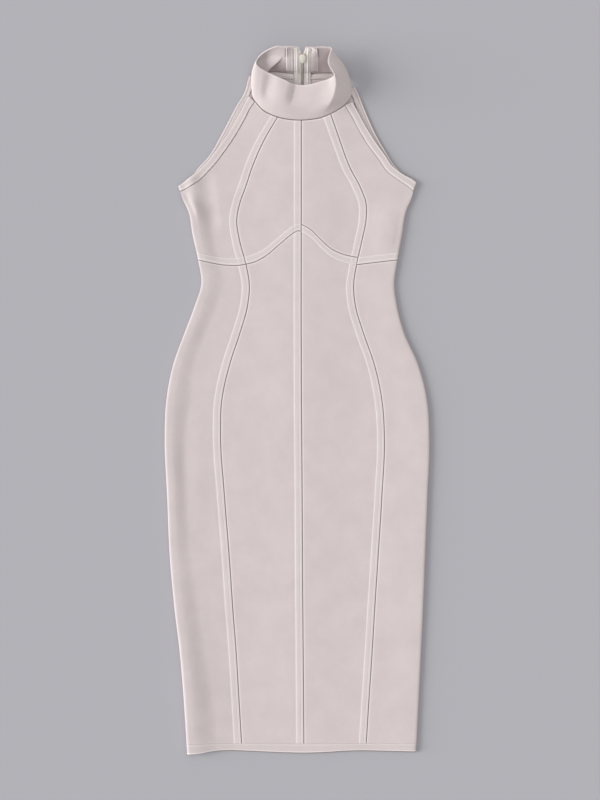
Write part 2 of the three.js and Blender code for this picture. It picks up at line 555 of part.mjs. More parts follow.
// The collar's middle surface. u runs from 0 to 1 round the sections, v from 0 at the foot to 1 at the rim.
const COLLAR_KEYS = ["x", "y", "z", "rimX", "rimY", "rimZ", "bow"];
const COLLAR_ROUND = [];
COLLAR.forEach((row, k) => {
  const last = k ? COLLAR_ROUND[k - 1] : { ...row, along: 0 };
  COLLAR_ROUND.push({ ...row, along: last.along + Math.hypot(row.x - last.x, row.y - last.y) });
});
const COLLAR_LENGTH = COLLAR_ROUND.at(-1).along;
const collarCurves = Object.fromEntries(COLLAR_KEYS.map((key) => [key, curve(COLLAR_ROUND, "along", key)]));
const collarAcross = (along) => Object.fromEntries(COLLAR_KEYS.map((key) => [key, collarCurves[key](along)]));

// How deep a fold of the collar is at a place round the foot and up the wall
function collarFold(fold, along, v) {
  const from = along - lerp(fold.foot, fold.rim, v);
  const off = Math.min(1, Math.abs(from) / (from < 0 ? fold.left : fold.right));
  const across = fold.crease ? (1 - off) ** 2 : (1 + Math.cos(Math.PI * off)) / 2;
  const up = smooth(v, fold.from, fold.from + FOLD_IN) * (1 - smooth(v, fold.to - FOLD_OUT, fold.to));
  return fold.depth * across * up;
}

function collarMiddle(along, v) {
  const r = collarAcross(along);
  const next = collarAcross(along + 0.5);
  const previous = collarAcross(along - 0.5);
  const round = vec(next.x - previous.x, next.y - previous.y, 0).normalize();
  const foot = vec(r.x, r.y, r.z);
  const chord = vec(r.rimX, r.rimY, r.rimZ).sub(foot);
  const out = round.clone().cross(chord).normalize();
  let swell = 4 * r.bow * v * (1 - v);
  for (const fold of COLLAR_FOLDS) swell -= collarFold(fold, along, v);
  const p = foot.addScaledVector(chord, v).addScaledVector(out, swell);
  const side = Math.sign(p.x - BACK_X);
  const near = Math.max(0, 1 - Math.abs(p.x - BACK_X) / NOTCH.reach);
  if (r.y > BACK_OF_COLLAR_Y) p.x += side * NOTCH.half * near * smooth(v, NOTCH.from, 1);
  return p;
}

// A point of the collar, depth inwards from its middle surface
function collarPoint(along, v, depth) {
  const step = 0.4;
  const round = collarMiddle(along + step, v).sub(collarMiddle(along - step, v));
  const up = collarMiddle(along, Math.min(1, v + 0.02)).sub(collarMiddle(along, Math.max(0, v - 0.02)));
  const inwards = up.cross(round).normalize();
  return collarMiddle(along, v).addScaledVector(inwards, depth);
}

function collar(material) {
  const round = evenly(0, COLLAR_LENGTH, COLLAR_STEPS + 1);
  const outer = [];
  const inner = [];
  for (let i = 0; i <= COLLAR_ROWS; i++) {
    const v = i / COLLAR_ROWS;
    const half = (COLLAR_WALL / 2) * (i === COLLAR_ROWS ? RIM_THIN : 1);
    outer.push(round.map((along) => collarPoint(along, v, -half)));
    inner.push(round.map((along) => collarPoint(along, v, half)));
  }
  return wall("collar", material, outer, inner);
}

// A ribbon on the inside of the centre back: flat along the back panel, then up the collar's wall.
// across lists its columns as distances from the centre line, side is -1 for left and 1 for right. lift(v) is how
// far the ribbon's outer edge stands off the collar.
function ribbon(name, material, side, across, stations, thickness, lift = () => 0) {
  const width = across.at(-1) - across[0];
  const point = (station, d, level) => {
    if (station.y !== undefined) return vec(BACK_X + side * d, station.y, WALL + GAP + level * thickness);
    const along = side < 0 ? d - (BACK_X - COLLAR[0].x) : COLLAR_LENGTH - d + (COLLAR.at(-1).x - BACK_X);
    const off = lift(station.v) * ((d - across[0]) / width);
    return collarPoint(along, station.v, COLLAR_WALL / 2 + GAP + level * thickness + off);
  };
  const face = (level) => stations.map((station) => across.map((d) => point(station, d, level)));
  return wall(name, material, face(1), face(0));
}

const thirds = (from, width) => [from, from + width / 2, from + width];
const bodyStations = BODY_STATIONS.map((y) => ({ y }));
const collarStations = (list) => list.map((v) => ({ v }));

function zipTape(name, material, side) {
  const stations = [...bodyStations, ...collarStations(TAPE_STATIONS)];
  return ribbon(name, material, side, thirds(TAPE_CLEAR, TAPE_WIDTH), stations, TAPE_WALL);
}

function facing(name, material, side) {
  const lift = (v) => FACING.lift * smooth(v, 0.6, 1);
  const stations = collarStations(FACING_STATIONS);
  return ribbon(name, material, side, thirds(FACING.from, FACING.width), stations, FACING.wall, lift);
}

// The closed teeth, from the foot of the zip up to the slider, across the centre line
function zipChain(material) {
  const across = [-CHAIN_WIDTH / 2, CHAIN_WIDTH / 2];
  const face = (level) => {
    const thick = level * CHAIN_WALL;
    const flat = BODY_STATIONS.map((y) => across.map((d) => vec(BACK_X + d, y, WALL + GAP + thick)));
    const raised = CHAIN_STATIONS.map((v) => {
      const { y, z } = collarPoint(0, v, COLLAR_WALL / 2 + 2 * GAP + thick);
      return across.map((d) => vec(BACK_X + d, y, z));
    });
    return [...flat, ...raised];
  };
  return wall("zip_chain", material, face(1), face(0));
}

// The seam allowance of the back neck, turned down on the inside beside each tape
function neckAllowance(name, material, neck, xs) {
  const { below, width, wall: thick } = NECK_ALLOWANCE;
  const point = (x, share, level) => vec(x, neck(x) - below - width * share, WALL + GAP + level * thick);
  const face = (level) => [0, 0.5, 1].map((share) => xs.map((x) => point(x, share, level)));
  return wall(name, material, face(1), face(0));
}

const wasm = await Module();
wasm.setup();

function solidOf(geometry) {
  const bare = geometry.index ? geometry.toNonIndexed() : geometry.clone();
  bare.deleteAttribute("normal");
  bare.deleteAttribute("uv");
  const merged = mergeVertices(bare, 1e-4);
  const triVerts = new Uint32Array(merged.index.array);
  const vertProperties = merged.attributes.position.array;
  return new wasm.Manifold(new wasm.Mesh({ numProp: 3, vertProperties, triVerts }));
}

function geometryOf(solid) {
  const { numProp, numVert, vertProperties, triVerts } = solid.getMesh();
  const positions = new Float32Array(numVert * 3);
  for (let k = 0; k < numVert; k++) {
    const start = k * numProp;
    positions.set(vertProperties.subarray(start, start + 3), k * 3);
  }
  const geometry = new THREE.BufferGeometry();
  geometry.setAttribute("position", new THREE.BufferAttribute(positions, 3));
  geometry.setIndex(new THREE.BufferAttribute(triVerts, 1));
  geometry.computeVertexNormals();
  return geometry;
}

// The slider's own frame: x across, y up along the collar's back, z inwards, from the chain's line
const sliderAt = collarPoint(0, SLIDER_V, 0).setX(BACK_X);
const sliderUp = collarPoint(0, SLIDER.high, 0).sub(collarPoint(0, SLIDER.low, 0)).setX(0).normalize();
const sliderIn = vec(1, 0, 0).cross(sliderUp);
const sliderFrame = new THREE.Matrix4().makeBasis(vec(1, 0, 0), sliderUp, sliderIn).setPosition(sliderAt);

const SHIELD = { width: 8.6, length: 14, low: 2.6, high: 4.3 };
const NECK_POST = { width: 1.3, length: 3.6 };
const OUTER_PLATE = { width: 6.4, length: 10.5, low: -2.7, high: -1.35 };
const BAR = { z: -5.1, radius: 0.5 };
const EAR = { x: 2.1, wide: 0.9, length: 3.2 };
const TAB = { eye: 1.85, hole: 0.95, width: 3.4, length: 16.5, end: 2.6, thick: 1.0 };

// A flat plate with rounded corners in the slider's frame, between two depths
function plate(width, length, low, high, taper) {
  const w = width / 2;
  const l = length / 2;
  const shape = new THREE.Shape();
  shape.moveTo(-w * taper, -l);
  shape.lineTo(w * taper, -l);
  shape.quadraticCurveTo(w, -l * 0.3, w, l * 0.35);
  shape.quadraticCurveTo(w, l * 0.9, w * 0.5, l);
  shape.lineTo(-w * 0.5, l);
  shape.quadraticCurveTo(-w, l * 0.9, -w, l * 0.35);
  shape.quadraticCurveTo(-w, -l * 0.3, -w * taper, -l);
  const flat = { depth: high - low, bevelEnabled: false, curveSegments: 4 };
  return new THREE.ExtrudeGeometry(shape, flat).translate(0, 0, low);
}

const block = (x, y, z, cx, cy, cz) => new THREE.BoxGeometry(x, y, z).translate(cx, cy, cz);

// The slider: a shield inside, a neck through the opening, and a plate with two ears and a bar outside
function slider(material) {
  const neckLow = OUTER_PLATE.high - 0.4;
  const neckHigh = SHIELD.low + 0.4;
  const neck = block(NECK_POST.width, NECK_POST.length, neckHigh - neckLow, 0, 2.5, (neckLow + neckHigh) / 2);
  const earHeight = OUTER_PLATE.low + 0.3 - (BAR.z - 1);
  const earZ = BAR.z - 1 + earHeight / 2;
  const bar = new THREE.CylinderGeometry(BAR.radius, BAR.radius, 2 * EAR.x + 1, 12);
  bar.rotateZ(Math.PI / 2).translate(0, 0, BAR.z);
  const pieces = [
    plate(SHIELD.width, SHIELD.length, SHIELD.low, SHIELD.high, 0.35),
    neck,
    plate(OUTER_PLATE.width, OUTER_PLATE.length, OUTER_PLATE.low, OUTER_PLATE.high, 0.6),
    block(EAR.wide, EAR.length, earHeight, -EAR.x - EAR.wide / 2, 0, earZ),
    block(EAR.wide, EAR.length, earHeight, EAR.x + EAR.wide / 2, 0, earZ),
    bar,
  ];
  const solid = pieces.map(solidOf).reduce((whole, piece) => whole.add(piece));
  return named("zip_slider", geometryOf(solid).applyMatrix4(sliderFrame), material);
}

// The pull tab: an eye round the slider's bar and a blade that lies down along the outside of the collar
function pullTab(material) {
  const eye = new THREE.Shape().absarc(0, 0, TAB.eye, 0, 2 * Math.PI);
  eye.holes.push(new THREE.Path().absarc(0, 0, TAB.hole, 0, 2 * Math.PI));
  const ring = new THREE.ExtrudeGeometry(eye, { depth: TAB.width, bevelEnabled: false, curveSegments: 10 });
  ring.translate(0, 0, -TAB.width / 2).rotateY(Math.PI / 2).translate(0, 0, BAR.z);
  const blade = new THREE.Shape();
  const w = TAB.width / 2;
  const start = -(TAB.hole + TAB.eye) / 2;
  blade.moveTo(-w, start);
  blade.lineTo(-TAB.end, -TAB.length * 0.55);
  blade.quadraticCurveTo(-TAB.end * 1.15, -TAB.length, 0, -TAB.length);
  blade.quadraticCurveTo(TAB.end * 1.15, -TAB.length, TAB.end, -TAB.length * 0.55);
  blade.lineTo(w, start);
  const leaf = new THREE.ExtrudeGeometry(blade, { depth: TAB.thick, bevelEnabled: false, curveSegments: 6 });
  leaf.translate(0, 0, BAR.z - TAB.thick / 2);
  const solid = solidOf(ring).add(solidOf(leaf));
  return named("zip_pull_tab", geometryOf(solid).applyMatrix4(sliderFrame), material);
}

const knit = new THREE.MeshStandardMaterial({ color: 0xd3c8c7, roughness: 0.9, side: THREE.DoubleSide });
const tape = new THREE.MeshStandardMaterial({ color: 0xdbd1cc, roughness: 0.85 });
const enamel = new THREE.MeshStandardMaterial({ color: 0xdcd5c0, roughness: 0.35 });

const shift = (f, by) => (t) => f(t) + by;
const either = (below, above) => (y) => (y < ARMPIT_Y - 0.01 ? below(y) : above(y));
const flat = (y) => () => y;
const HALF_GAP = GAP / 2;
const COLLAR_GAP = 1.1; // square to the neckline
const BACK_COLLAR_GAP = 1.4;
const BACK_SLIT = 0.5; // half the opening between the two back panels

// Heights of the rows on each boundary, the same on both sides of a seam so that the pieces meet
const LOWER_EVEN = evenly(-490, 168, 18);
const LOWER_SIDE = [...LOWER_EVEN, 195];
const LOWER_CENTRE = [...LOWER_EVEN, 225];
const UPPER_SEAM = [236, 254, 272, 290, 308, 326, 334, 344, 360, 379, 398, 416, 430];
const UPPER_CENTRE = evenly(286, 429, UPPER_SEAM.length);
const seamRows = (name) => ARMHOLES[name].slice(1, -1).map((row) => row.seamY);
const armholeRows = (name) => [...evenly(244, ARMPIT_Y, 6), ...seamRows(name)];
const levels = (left, right) => left.map((y, k) => ({ left: y, right: right[k] }));

// The outline up to the armpit, and from there the armhole band's seam
function sideEdge(name, outline) {
  return either(outline, shift(armholeSeam(name), name.endsWith("left") ? GAP : -GAP));
}

// The eight front panels, each between its four boundaries, half a gap in from every seam
function frontPanels() {
  const slope = (x) => collarFront(x + 0.5) - collarFront(x - 0.5);
  const top = (x) => collarFront(x) - COLLAR_GAP * Math.hypot(1, slope(x));
  const bottom = flat(HEM_TOP + HALF_GAP);
  const leftOf = (seam) => shift(seam, -HALF_GAP);
  const rightOf = (seam) => shift(seam, HALF_GAP);
  const above = (seam) => shift(seam, HALF_GAP);
  const below = (seam) => shift(seam, -HALF_GAP);
  const panels = {
    upper_side_left: {
      left: sideEdge("front_left", outlineLeft), right: leftOf(seamLeft), bottom: above(underbustLeft), top,
      edge: "left", strip: "right", foot: true, count: 4,
      levels: levels(armholeRows("front_left"), UPPER_SEAM),
    },
    upper_centre_left: {
      left: rightOf(seamLeft), right: leftOf(seamCentre), bottom: above(underbustLeft), top,
      strip: "right", foot: true, count: 5, levels: levels(UPPER_SEAM, UPPER_CENTRE),
    },
    upper_centre_right: {
      left: rightOf(seamCentre), right: leftOf(seamRight), bottom: above(underbustCentreRight), top,
      strip: "right", count: 5, levels: levels(UPPER_CENTRE, UPPER_SEAM),
    },
    upper_side_right: {
      left: rightOf(seamRight), right: sideEdge("front_right", outlineRight),
      bottom: above(underbustSideRight), top, edge: "right", foot: true, count: 5,
      levels: levels(UPPER_SEAM, armholeRows("front_right")),
    },
    lower_side_left: {
      left: outlineLeft, right: leftOf(seamLeft), bottom, top: below(underbustLeft),
      edge: "left", strip: "right", count: 4, levels: levels(LOWER_SIDE, LOWER_SIDE),
    },
    lower_centre_left: {
      left: rightOf(seamLeft), right: leftOf(seamCentre), bottom, top: below(underbustLeft),
      strip: "right", count: 5, levels: levels(LOWER_SIDE, LOWER_CENTRE),
    },
    lower_centre_right: {
      left: rightOf(seamCentre), right: leftOf(seamRight), bottom, top: below(underbustCentreRight),
      strip: "right", head: true, count: 5, levels: levels(LOWER_CENTRE, LOWER_SIDE),
    },
    lower_side_right: {
      left: rightOf(seamRight), right: outlineRight, bottom, top: below(underbustSideRight),
      edge: "right", count: 5, levels: levels(LOWER_SIDE, LOWER_SIDE),
    },
  };
  return Object.entries(panels).map(([name, panel]) => frontPanel(name, knit, panel));
}

// The two back panels, from the hem to the back of the neck
function backPanels() {
  const rows = (name) => {
    const edge = [...evenly(-488, ARMPIT_Y, 18), ...seamRows(name)];
    const last = edge[edge.length - 1];
    const middle = edge.map((y) => (y < 200 ? y : lerp(200, 496, (y - 200) / (last - 200))));
    return { edge, middle };
  };
  const left = rows("back_left");
  const right = rows("back_right");
  const bottom = flat(HEM_TOP + HALF_GAP);
  const panels = {
    back_left: {
      left: sideEdge("back_left", outlineLeft), right: flat(BACK_X - BACK_SLIT),
      bottom, top: shift(neckBackLeft, -BACK_COLLAR_GAP), edge: "left", count: 3,
      levels: levels(left.edge, left.middle),
    },
    back_right: {
      left: flat(BACK_X + BACK_SLIT), right: sideEdge("back_right", outlineRight),
      bottom, top: shift(neckBackRight, -BACK_COLLAR_GAP), edge: "right", count: 3,
      levels: levels(right.middle, right.edge),
    },
  };
  return Object.entries(panels).map(([name, panel]) => backPanel(name, knit, panel));
}

const dress = new THREE.Group();
dress.add(
  ...frontPanels(),
  ...backPanels(),
  band("armhole_band_front_left", knit, ARMHOLES.front_left, frontInside),
  band("armhole_band_front_right", knit, ARMHOLES.front_right, frontInside),
  band("armhole_band_back_left", knit, ARMHOLES.back_left, () => 0),
  band("armhole_band_back_right", knit, ARMHOLES.back_right, () => 0),
  hem("hem_front", knit, 1),
  hem("hem_back", knit, -1),
  collar(knit),
  facing("centre_back_facing_left", knit, -1),
  facing("centre_back_facing_right", knit, 1),
  neckAllowance("neck_allowance_left", knit, neckBackLeft, [-52, -42, -30, -18, BACK_X - FACING.from]),
  neckAllowance("neck_allowance_right", knit, neckBackRight, [BACK_X + FACING.from, 32, 44, 56, 66]),
  zipTape("zip_tape_left", tape, -1),
  zipTape("zip_tape_right", tape, 1),
  zipChain(tape),
  slider(enamel),
  pullTab(enamel),
);

export default dress;
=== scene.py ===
# %% [markdown]
# # A knit dress laid flat
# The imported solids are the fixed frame. This lesson dresses them in finer cloth: each sewn piece of the
# dress becomes a thin shell on its own solid, with its pressed seams, stitches and soft folds.
# Lengths are written in millimetres, as a dressmaker would, and a mesh is made from them in metres.

# %% Load the frame
import math

import bpy
import numpy as np
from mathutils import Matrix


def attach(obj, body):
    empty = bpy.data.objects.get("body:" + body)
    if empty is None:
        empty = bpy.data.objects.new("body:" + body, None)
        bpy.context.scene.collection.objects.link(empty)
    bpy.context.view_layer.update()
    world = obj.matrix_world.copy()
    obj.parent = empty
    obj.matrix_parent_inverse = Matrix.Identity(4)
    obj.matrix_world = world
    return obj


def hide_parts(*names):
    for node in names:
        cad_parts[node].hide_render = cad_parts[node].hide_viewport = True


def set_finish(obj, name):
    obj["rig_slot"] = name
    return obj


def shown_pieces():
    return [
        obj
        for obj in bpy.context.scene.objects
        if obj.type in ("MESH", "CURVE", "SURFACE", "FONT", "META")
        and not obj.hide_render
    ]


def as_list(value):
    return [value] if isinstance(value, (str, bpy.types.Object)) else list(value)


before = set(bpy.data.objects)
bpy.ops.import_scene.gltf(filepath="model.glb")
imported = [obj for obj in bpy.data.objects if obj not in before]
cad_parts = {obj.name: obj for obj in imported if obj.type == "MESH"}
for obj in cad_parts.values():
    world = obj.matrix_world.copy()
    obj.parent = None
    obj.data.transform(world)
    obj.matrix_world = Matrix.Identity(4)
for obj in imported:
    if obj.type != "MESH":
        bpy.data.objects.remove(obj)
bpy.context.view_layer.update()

# %% [markdown]
# ## Smooth curves through short tables
# A pattern cutter keeps a few measured points and draws a smooth line through them. The tables below are
# those points, and `curve` is the line: a cubic through every row, straight beyond the ends.


# %% Tables and curves
def table(columns, *rows):
    return {name: np.array([row[k] for row in rows], float) for k, name in enumerate(columns.split())}


def curve(rows, by, out):
    order = np.argsort(rows[by])
    x, y = rows[by][order], rows[out][order]
    step = np.diff(x)
    rise = np.diff(y) / step
    slope = np.concatenate([rise[:1], rise[:1], rise[1:]])[: len(x)]
    slope[-1] = rise[-1]
    slope[1:-1] = (rise[:-1] * step[1:] + rise[1:] * step[:-1]) / (step[:-1] + step[1:])

    def at(value):
        value = np.asarray(value, float)
        held = np.clip(value, x[0], x[-1])
        i = np.clip(np.searchsorted(x, held, side="right") - 1, 0, len(step) - 1)
        s = (held - x[i]) / step[i]
        ends = y[i] * (1 + 2 * s) * (1 - s) ** 2 + y[i + 1] * s * s * (3 - 2 * s)
        inside = ends + step[i] * s * (1 - s) * (slope[i] * (1 - s) - slope[i + 1] * s)
        return inside + slope[0] * np.minimum(value - x[0], 0) + slope[-1] * np.maximum(value - x[-1], 0)

    return at


def smooth(value, a, b):
    t = np.clip((value - a) / (b - a), 0, 1)
    return t * t * (3 - 2 * t)


def lerp(a, b, t):
    return a + (b - a) * t


# %% The outline, the seams and the armholes
WALL, GAP, LAYER_GAP = 1.5, 0.3, 1.0
STRIP, STRIP_STEP = 11.4, 0.9
BAND_WALL, ROLL_INSET, HEM_TOP, ARMPIT_Y, BACK_X, ZIP_END_Y = 2.1, 6.0, -528.0, 326.0, 8.4, 20.0

OUTLINE = table(
    "y left right roll_left roll_right",
    (-543, -170, 184, 3.9, 2.2), (-528, -171, 184.9, 4.1, 2.3), (-469, -174.7, 187.9, 4.4, 2.4),
    (-384, -181.8, 192.1, 4.1, 2.5), (-322, -189.4, 195, 3.6, 2.6), (-240, -197, 198.2, 3.1, 2.7),
    (-144, -201.2, 202, 3.7, 2.7), (-55, -204.9, 204.9, 3.9, 2.7), (3, -202.3, 201.3, 3.8, 2.6),
    (61, -191, 186.5, 3.2, 2.5), (106, -174.7, 166.3, 3.6, 2.5), (152, -157.5, 154.2, 3.2, 2.4),
    (183, -148.2, 150.4, 3.1, 2.4), (216, -152.4, 154.8, 3.2, 2.5), (259, -161.8, 162.6, 3.8, 2.6),
    (298, -169.3, 169.8, 3.7, 2.4), (314, -176.9, 176.6, 3, 2.2), (326, -181, 179.8, 2.4, 2.1),
)
LONG_SEAMS = table(
    "y left centre right",
    (-543, -84.9, 10.7, 106.2), (-469, -89.3, 10.2, 110.8), (-384, -94.4, 9.5, 116.4), (-322, -99.2, 9, 120.1),
    (-240, -104.8, 8.4, 125.4), (-144, -112.4, 7.9, 131.4), (-55, -118.3, 7.3, 135.3), (3, -116.4, 6.8, 131.4),
    (61, -103.4, 6.7, 118.9), (106, -88.7, 6.5, 103.2), (149, -76.6, 6.4, 90.5), (183, -73.9, 6.4, 87.7),
    (213, -78.9, 6.5, 92.2), (251, -89, 6.6, 100.6), (282, -93.3, 6.6, 106.8), (309, -88.2, 6.6, 106.6),
    (333, -79.6, 6.6, 97.8), (363, -69.6, 6.6, 82), (406, -50.6, 6.6, 65.9), (442, -29.6, 6.6, 53.3),
)
UNDERBUST_LEFT = table(
    "x y",
    (-170, 223.5), (-153, 219.9), (-129, 214.8), (-110, 212), (-91, 211.7), (-79, 213.7), (-65, 217.3),
    (-50, 225.1), (-27, 244.1), (-5, 261.9), (1, 265), (6.6, 264.5),
)
UNDERBUST_CENTRE_RIGHT = table("x y", (6.6, 275.3), (21, 267.2), (36, 252.3), (54, 236.8), (74, 228.2), (95, 223.8))
UNDERBUST_SIDE_RIGHT = table("x y", (92, 212.7), (128, 217), (155, 219.9), (170, 221.6))


def armhole(*rows):
    return table("edge_x edge_y seam_x seam_y", *rows)


ARMHOLES = {
    "front_left": armhole(
        (-184, 334.6, -181, 326), (-178, 339, -172.5, 329.6), (-165.4, 348.9, -158.2, 338.2),
        (-143.5, 368.4, -135.4, 359), (-121.8, 395.6, -112.4, 387.4), (-104.5, 420.5, -94.4, 414.2),
        (-91.1, 444.2, -80.3, 438.8), (-81.2, 463, -72.2, 454.8), (-75.6, 474.6, -65.4, 464.6),
    ),
    "front_right": armhole(
        (185, 340.4, 179.8, 326), (178.2, 345.4, 172.6, 332.6), (165.2, 352.5, 159, 341.8),
        (148.7, 364.9, 140.4, 355.6), (136.2, 382.7, 126.8, 374.6), (122.8, 401.1, 112.4, 393.4),
        (106.8, 426.7, 96.2, 419.6), (95, 448.2, 84.2, 441.8), (86, 464.6, 73.6, 459),
    ),
    "back_left": armhole(
        (-182.8, 334.2, -180.8, 326), (-171, 343.6, -163.5, 332.6), (-153.6, 363, -144.4, 354.6),
        (-137.5, 380.8, -127.6, 373.8), (-118.6, 413.1, -108, 407), (-104.5, 439.7, -93.8, 434),
        (-94.1, 459.7, -83.4, 454), (-87, 470.9, -76.8, 467), (-80.8, 483.3, -71, 481),
        (-77.2, 496.3, -66.8, 492.4), (-74, 508.6, -62, 499),
    ),
    "back_right": armhole(
        (183.4, 338.2, 179.6, 326), (172, 347, 165, 335.4), (152, 366, 143.6, 356.8),
        (137.8, 387.8, 127.6, 380.8), (122.8, 413.5, 112.2, 407.4), (108.8, 444.1, 98, 438.8),
        (102, 460.6, 91.2, 455.4), (95.6, 476.6, 86, 471), (90.2, 488.4, 80.2, 484.6),
    ),
}
COLLAR = table(
    "x y z rim_x rim_y rim_z bow",
    (7.2, 509.2, 1.9, 7.2, 542.6, 35.5, -3), (-5, 510, 1.9, -6, 543.2, 36, -3),
    (-18.7, 511, 1.9, -18.4, 543.5, 36, -2), (-38, 512.2, 2, -33.7, 543, 35, 2),
    (-50.5, 509, 2.2, -47.5, 538, 28, 6), (-60, 501.2, 2.7, -57.2, 531.6, 23.5, 6),
    (-65.6, 491, 3.5, -61.7, 524.8, 21.5, 5.5), (-68.4, 480.4, 4.1, -62, 519.6, 20.8, 4.5),
    (-67.6, 470.8, 4.6, -58.4, 515.2, 20.5, 4), (-61, 461.4, 4.9, -47.7, 508.4, 20.5, 3),
    (-53.5, 453, 5, -38.5, 504.2, 20.5, 3), (-40.4, 445.4, 5, -29.3, 500, 20.5, 3.5),
    (-26.4, 440.4, 5, -18.5, 495.3, 20.5, 3), (-11, 437.5, 5, -9.3, 490.3, 20.5, 2),
    (7.6, 436.5, 5, 7.6, 487.1, 20.5, 1), (22.3, 437.7, 5, 22.2, 488.7, 21.5, 1),
    (38.8, 441, 5, 35.2, 492, 23.5, 1.5), (52, 446.6, 5, 46.2, 494.8, 26.5, 2.5),
    (66, 454.6, 4.9, 52.6, 497.6, 30, 3.5), (76.6, 463.4, 4.7, 55.2, 501.6, 33, 4),
    (83, 473, 4.3, 52.2, 506.4, 35, 5), (84.8, 482.6, 3.8, 48.1, 512.8, 37, 7),
    (82.6, 492.6, 3.2, 46.7, 520.2, 38, 9), (75.4, 502.6, 2.6, 49, 529.4, 38.5, 9),
    (63.4, 509, 2.1, 52.4, 539.4, 38.5, 6), (47.9, 510.6, 1.9, 42.6, 542.2, 38, 1),
    (29.3, 510.2, 1.9, 27.4, 542.1, 37, -2), (20, 509.6, 1.9, 20.2, 542.3, 36, -3),
    (9.6, 509.2, 1.9, 9.6, 542.6, 35.5, -3),
)


def some_rows(rows, first, last):
    return {name: column[first : last + 1] for name, column in rows.items()}


outline_left, outline_right = curve(OUTLINE, "y", "left"), curve(OUTLINE, "y", "right")
roll_left, roll_right = curve(OUTLINE, "y", "roll_left"), curve(OUTLINE, "y", "roll_right")
seam_left, seam_centre, seam_right = (curve(LONG_SEAMS, "y", name) for name in ("left", "centre", "right"))
underbust_left = curve(UNDERBUST_LEFT, "x", "y")
underbust_centre_right = curve(UNDERBUST_CENTRE_RIGHT, "x", "y")
underbust_side_right = curve(UNDERBUST_SIDE_RIGHT, "x", "y")
collar_front = curve(some_rows(COLLAR, 8, 20), "x", "y")
neck_back_left = curve(some_rows(COLLAR, 0, 5), "x", "y")
neck_back_right = curve(some_rows(COLLAR, 23, 28), "x", "y")
print("waist width, mm:", round(float(outline_right(183) - outline_left(183)), 1))

# %% [markdown]
# ## How high the front lies
# The front of the dress lies on the back. It is lifted a little by the zip, by the neck and by the fold at
# each side, and it carries a few soft folds. One function gives that height for every front piece, so
# neighbours always meet.

# %% The height of the front
RIGHT_REACH = 60  # from the right fold the front has come down to the back this far in
OVER_ZIP_RISE, OVER_ZIP_FAR, OVER_ZIP_NEAR = 1.2, 90, 12
OVER_NECK_RISE, OVER_NECK_FAR, OVER_NECK_NEAR, OVER_NECK_FROM, OVER_NECK_TO = 1.7, 110, 60, 370, 450
CREST_FADE, CURL_FADE = 20, 26  # the front's sides and their folds come up over these lengths below the armpit
FOLD_INSET = 8  # soft folds end this far inside the side fold
FRONT_FOLDS = table(
    "x1 y1 x2 y2 half rise",
    (-165, 352, -156, 286, 15, 2.4), (-142, 352, -130, 270, 16, -1.5), (138, 300, 134, 240, 30, 1.1),
    (8, 60, 10, -545, 85, 0.9), (-150, -10, -156, -190, 22, 0.4), (150, -100, 146, -330, 26, 0.5),
)


def folds(x, y):
    rise = 0
    for x1, y1, x2, y2, half, high in zip(*FRONT_FOLDS.values()):
        dx, dy = x2 - x1, y2 - y1
        t = np.clip(((x - x1) * dx + (y - y1) * dy) / (dx * dx + dy * dy), 0, 1)
        off = np.hypot(x - x1 - t * dx, y - y1 - t * dy)
        across = np.where(off < half, (1 + np.cos(np.pi * np.minimum(off / half, 1))) / 2, 0)
        rise = rise + high * across * np.minimum(1, 6 * np.minimum(t + 0.05, 1.05 - t))
    return rise


CREST_TOP = 10.0  # the cloth stays high this far in from the side, then falls to the back
LEFT_REACH = table(
    "y reach",
    (-543, 50), (-469, 46), (-384, 41), (-322, 38), (-240, 34), (-144, 31), (-55, 34), (3, 39), (61, 34),
    (152, 36), (183, 37), (216, 35), (259, 33), (326, 31),
)
LEFT_RIDGE = table("y rise", (-543, 2.6), (-430, 2.4), (-300, 1.9), (-150, 0.9), (0, 0.3), (150, 0), (326, 0))
RIDGE_REACH, RIDGE_END = 85, 150  # a long ridge along the left of the skirt: how far in, and how far up
left_reach, ridge_rise = curve(LEFT_REACH, "y", "reach"), curve(LEFT_RIDGE, "y", "rise")


def left_ridge(y):
    return np.where(y < RIDGE_END, ridge_rise(y), 0)


def side_crest(inset, half, reach):
    return 2 * (half - WALL - LAYER_GAP / 2) * smooth(np.maximum(inset, CREST_TOP), reach, CREST_TOP)


def front_inside(x, y):
    from_zip, in_left, in_right = abs(x - BACK_X), x - outline_left(y), outline_right(y) - x
    zip_rise = OVER_ZIP_RISE * smooth(from_zip, OVER_ZIP_FAR, OVER_ZIP_NEAR)
    over_zip = zip_rise * smooth(y, ZIP_END_Y - OVER_ZIP_FAR, ZIP_END_Y)
    neck_rise = OVER_NECK_RISE * smooth(y, OVER_NECK_FROM, OVER_NECK_TO)
    neck = neck_rise * smooth(from_zip, OVER_NECK_FAR, OVER_NECK_NEAR)
    crest = side_crest(in_left, roll_left(y), left_reach(y)) + side_crest(in_right, roll_right(y), RIGHT_REACH)
    ridge = left_ridge(y) * smooth(in_left, RIDGE_REACH, ROLL_INSET)
    soft = folds(x, y) * smooth(np.minimum(in_left, in_right), ROLL_INSET, ROLL_INSET + FOLD_INSET)
    return WALL + LAYER_GAP + neck + over_zip + crest * smooth(y, ARMPIT_Y, ARMPIT_Y - CREST_FADE) + ridge + soft


print("front height at the waist, mm:", round(float(front_inside(0.0, 183.0)) + WALL, 2))
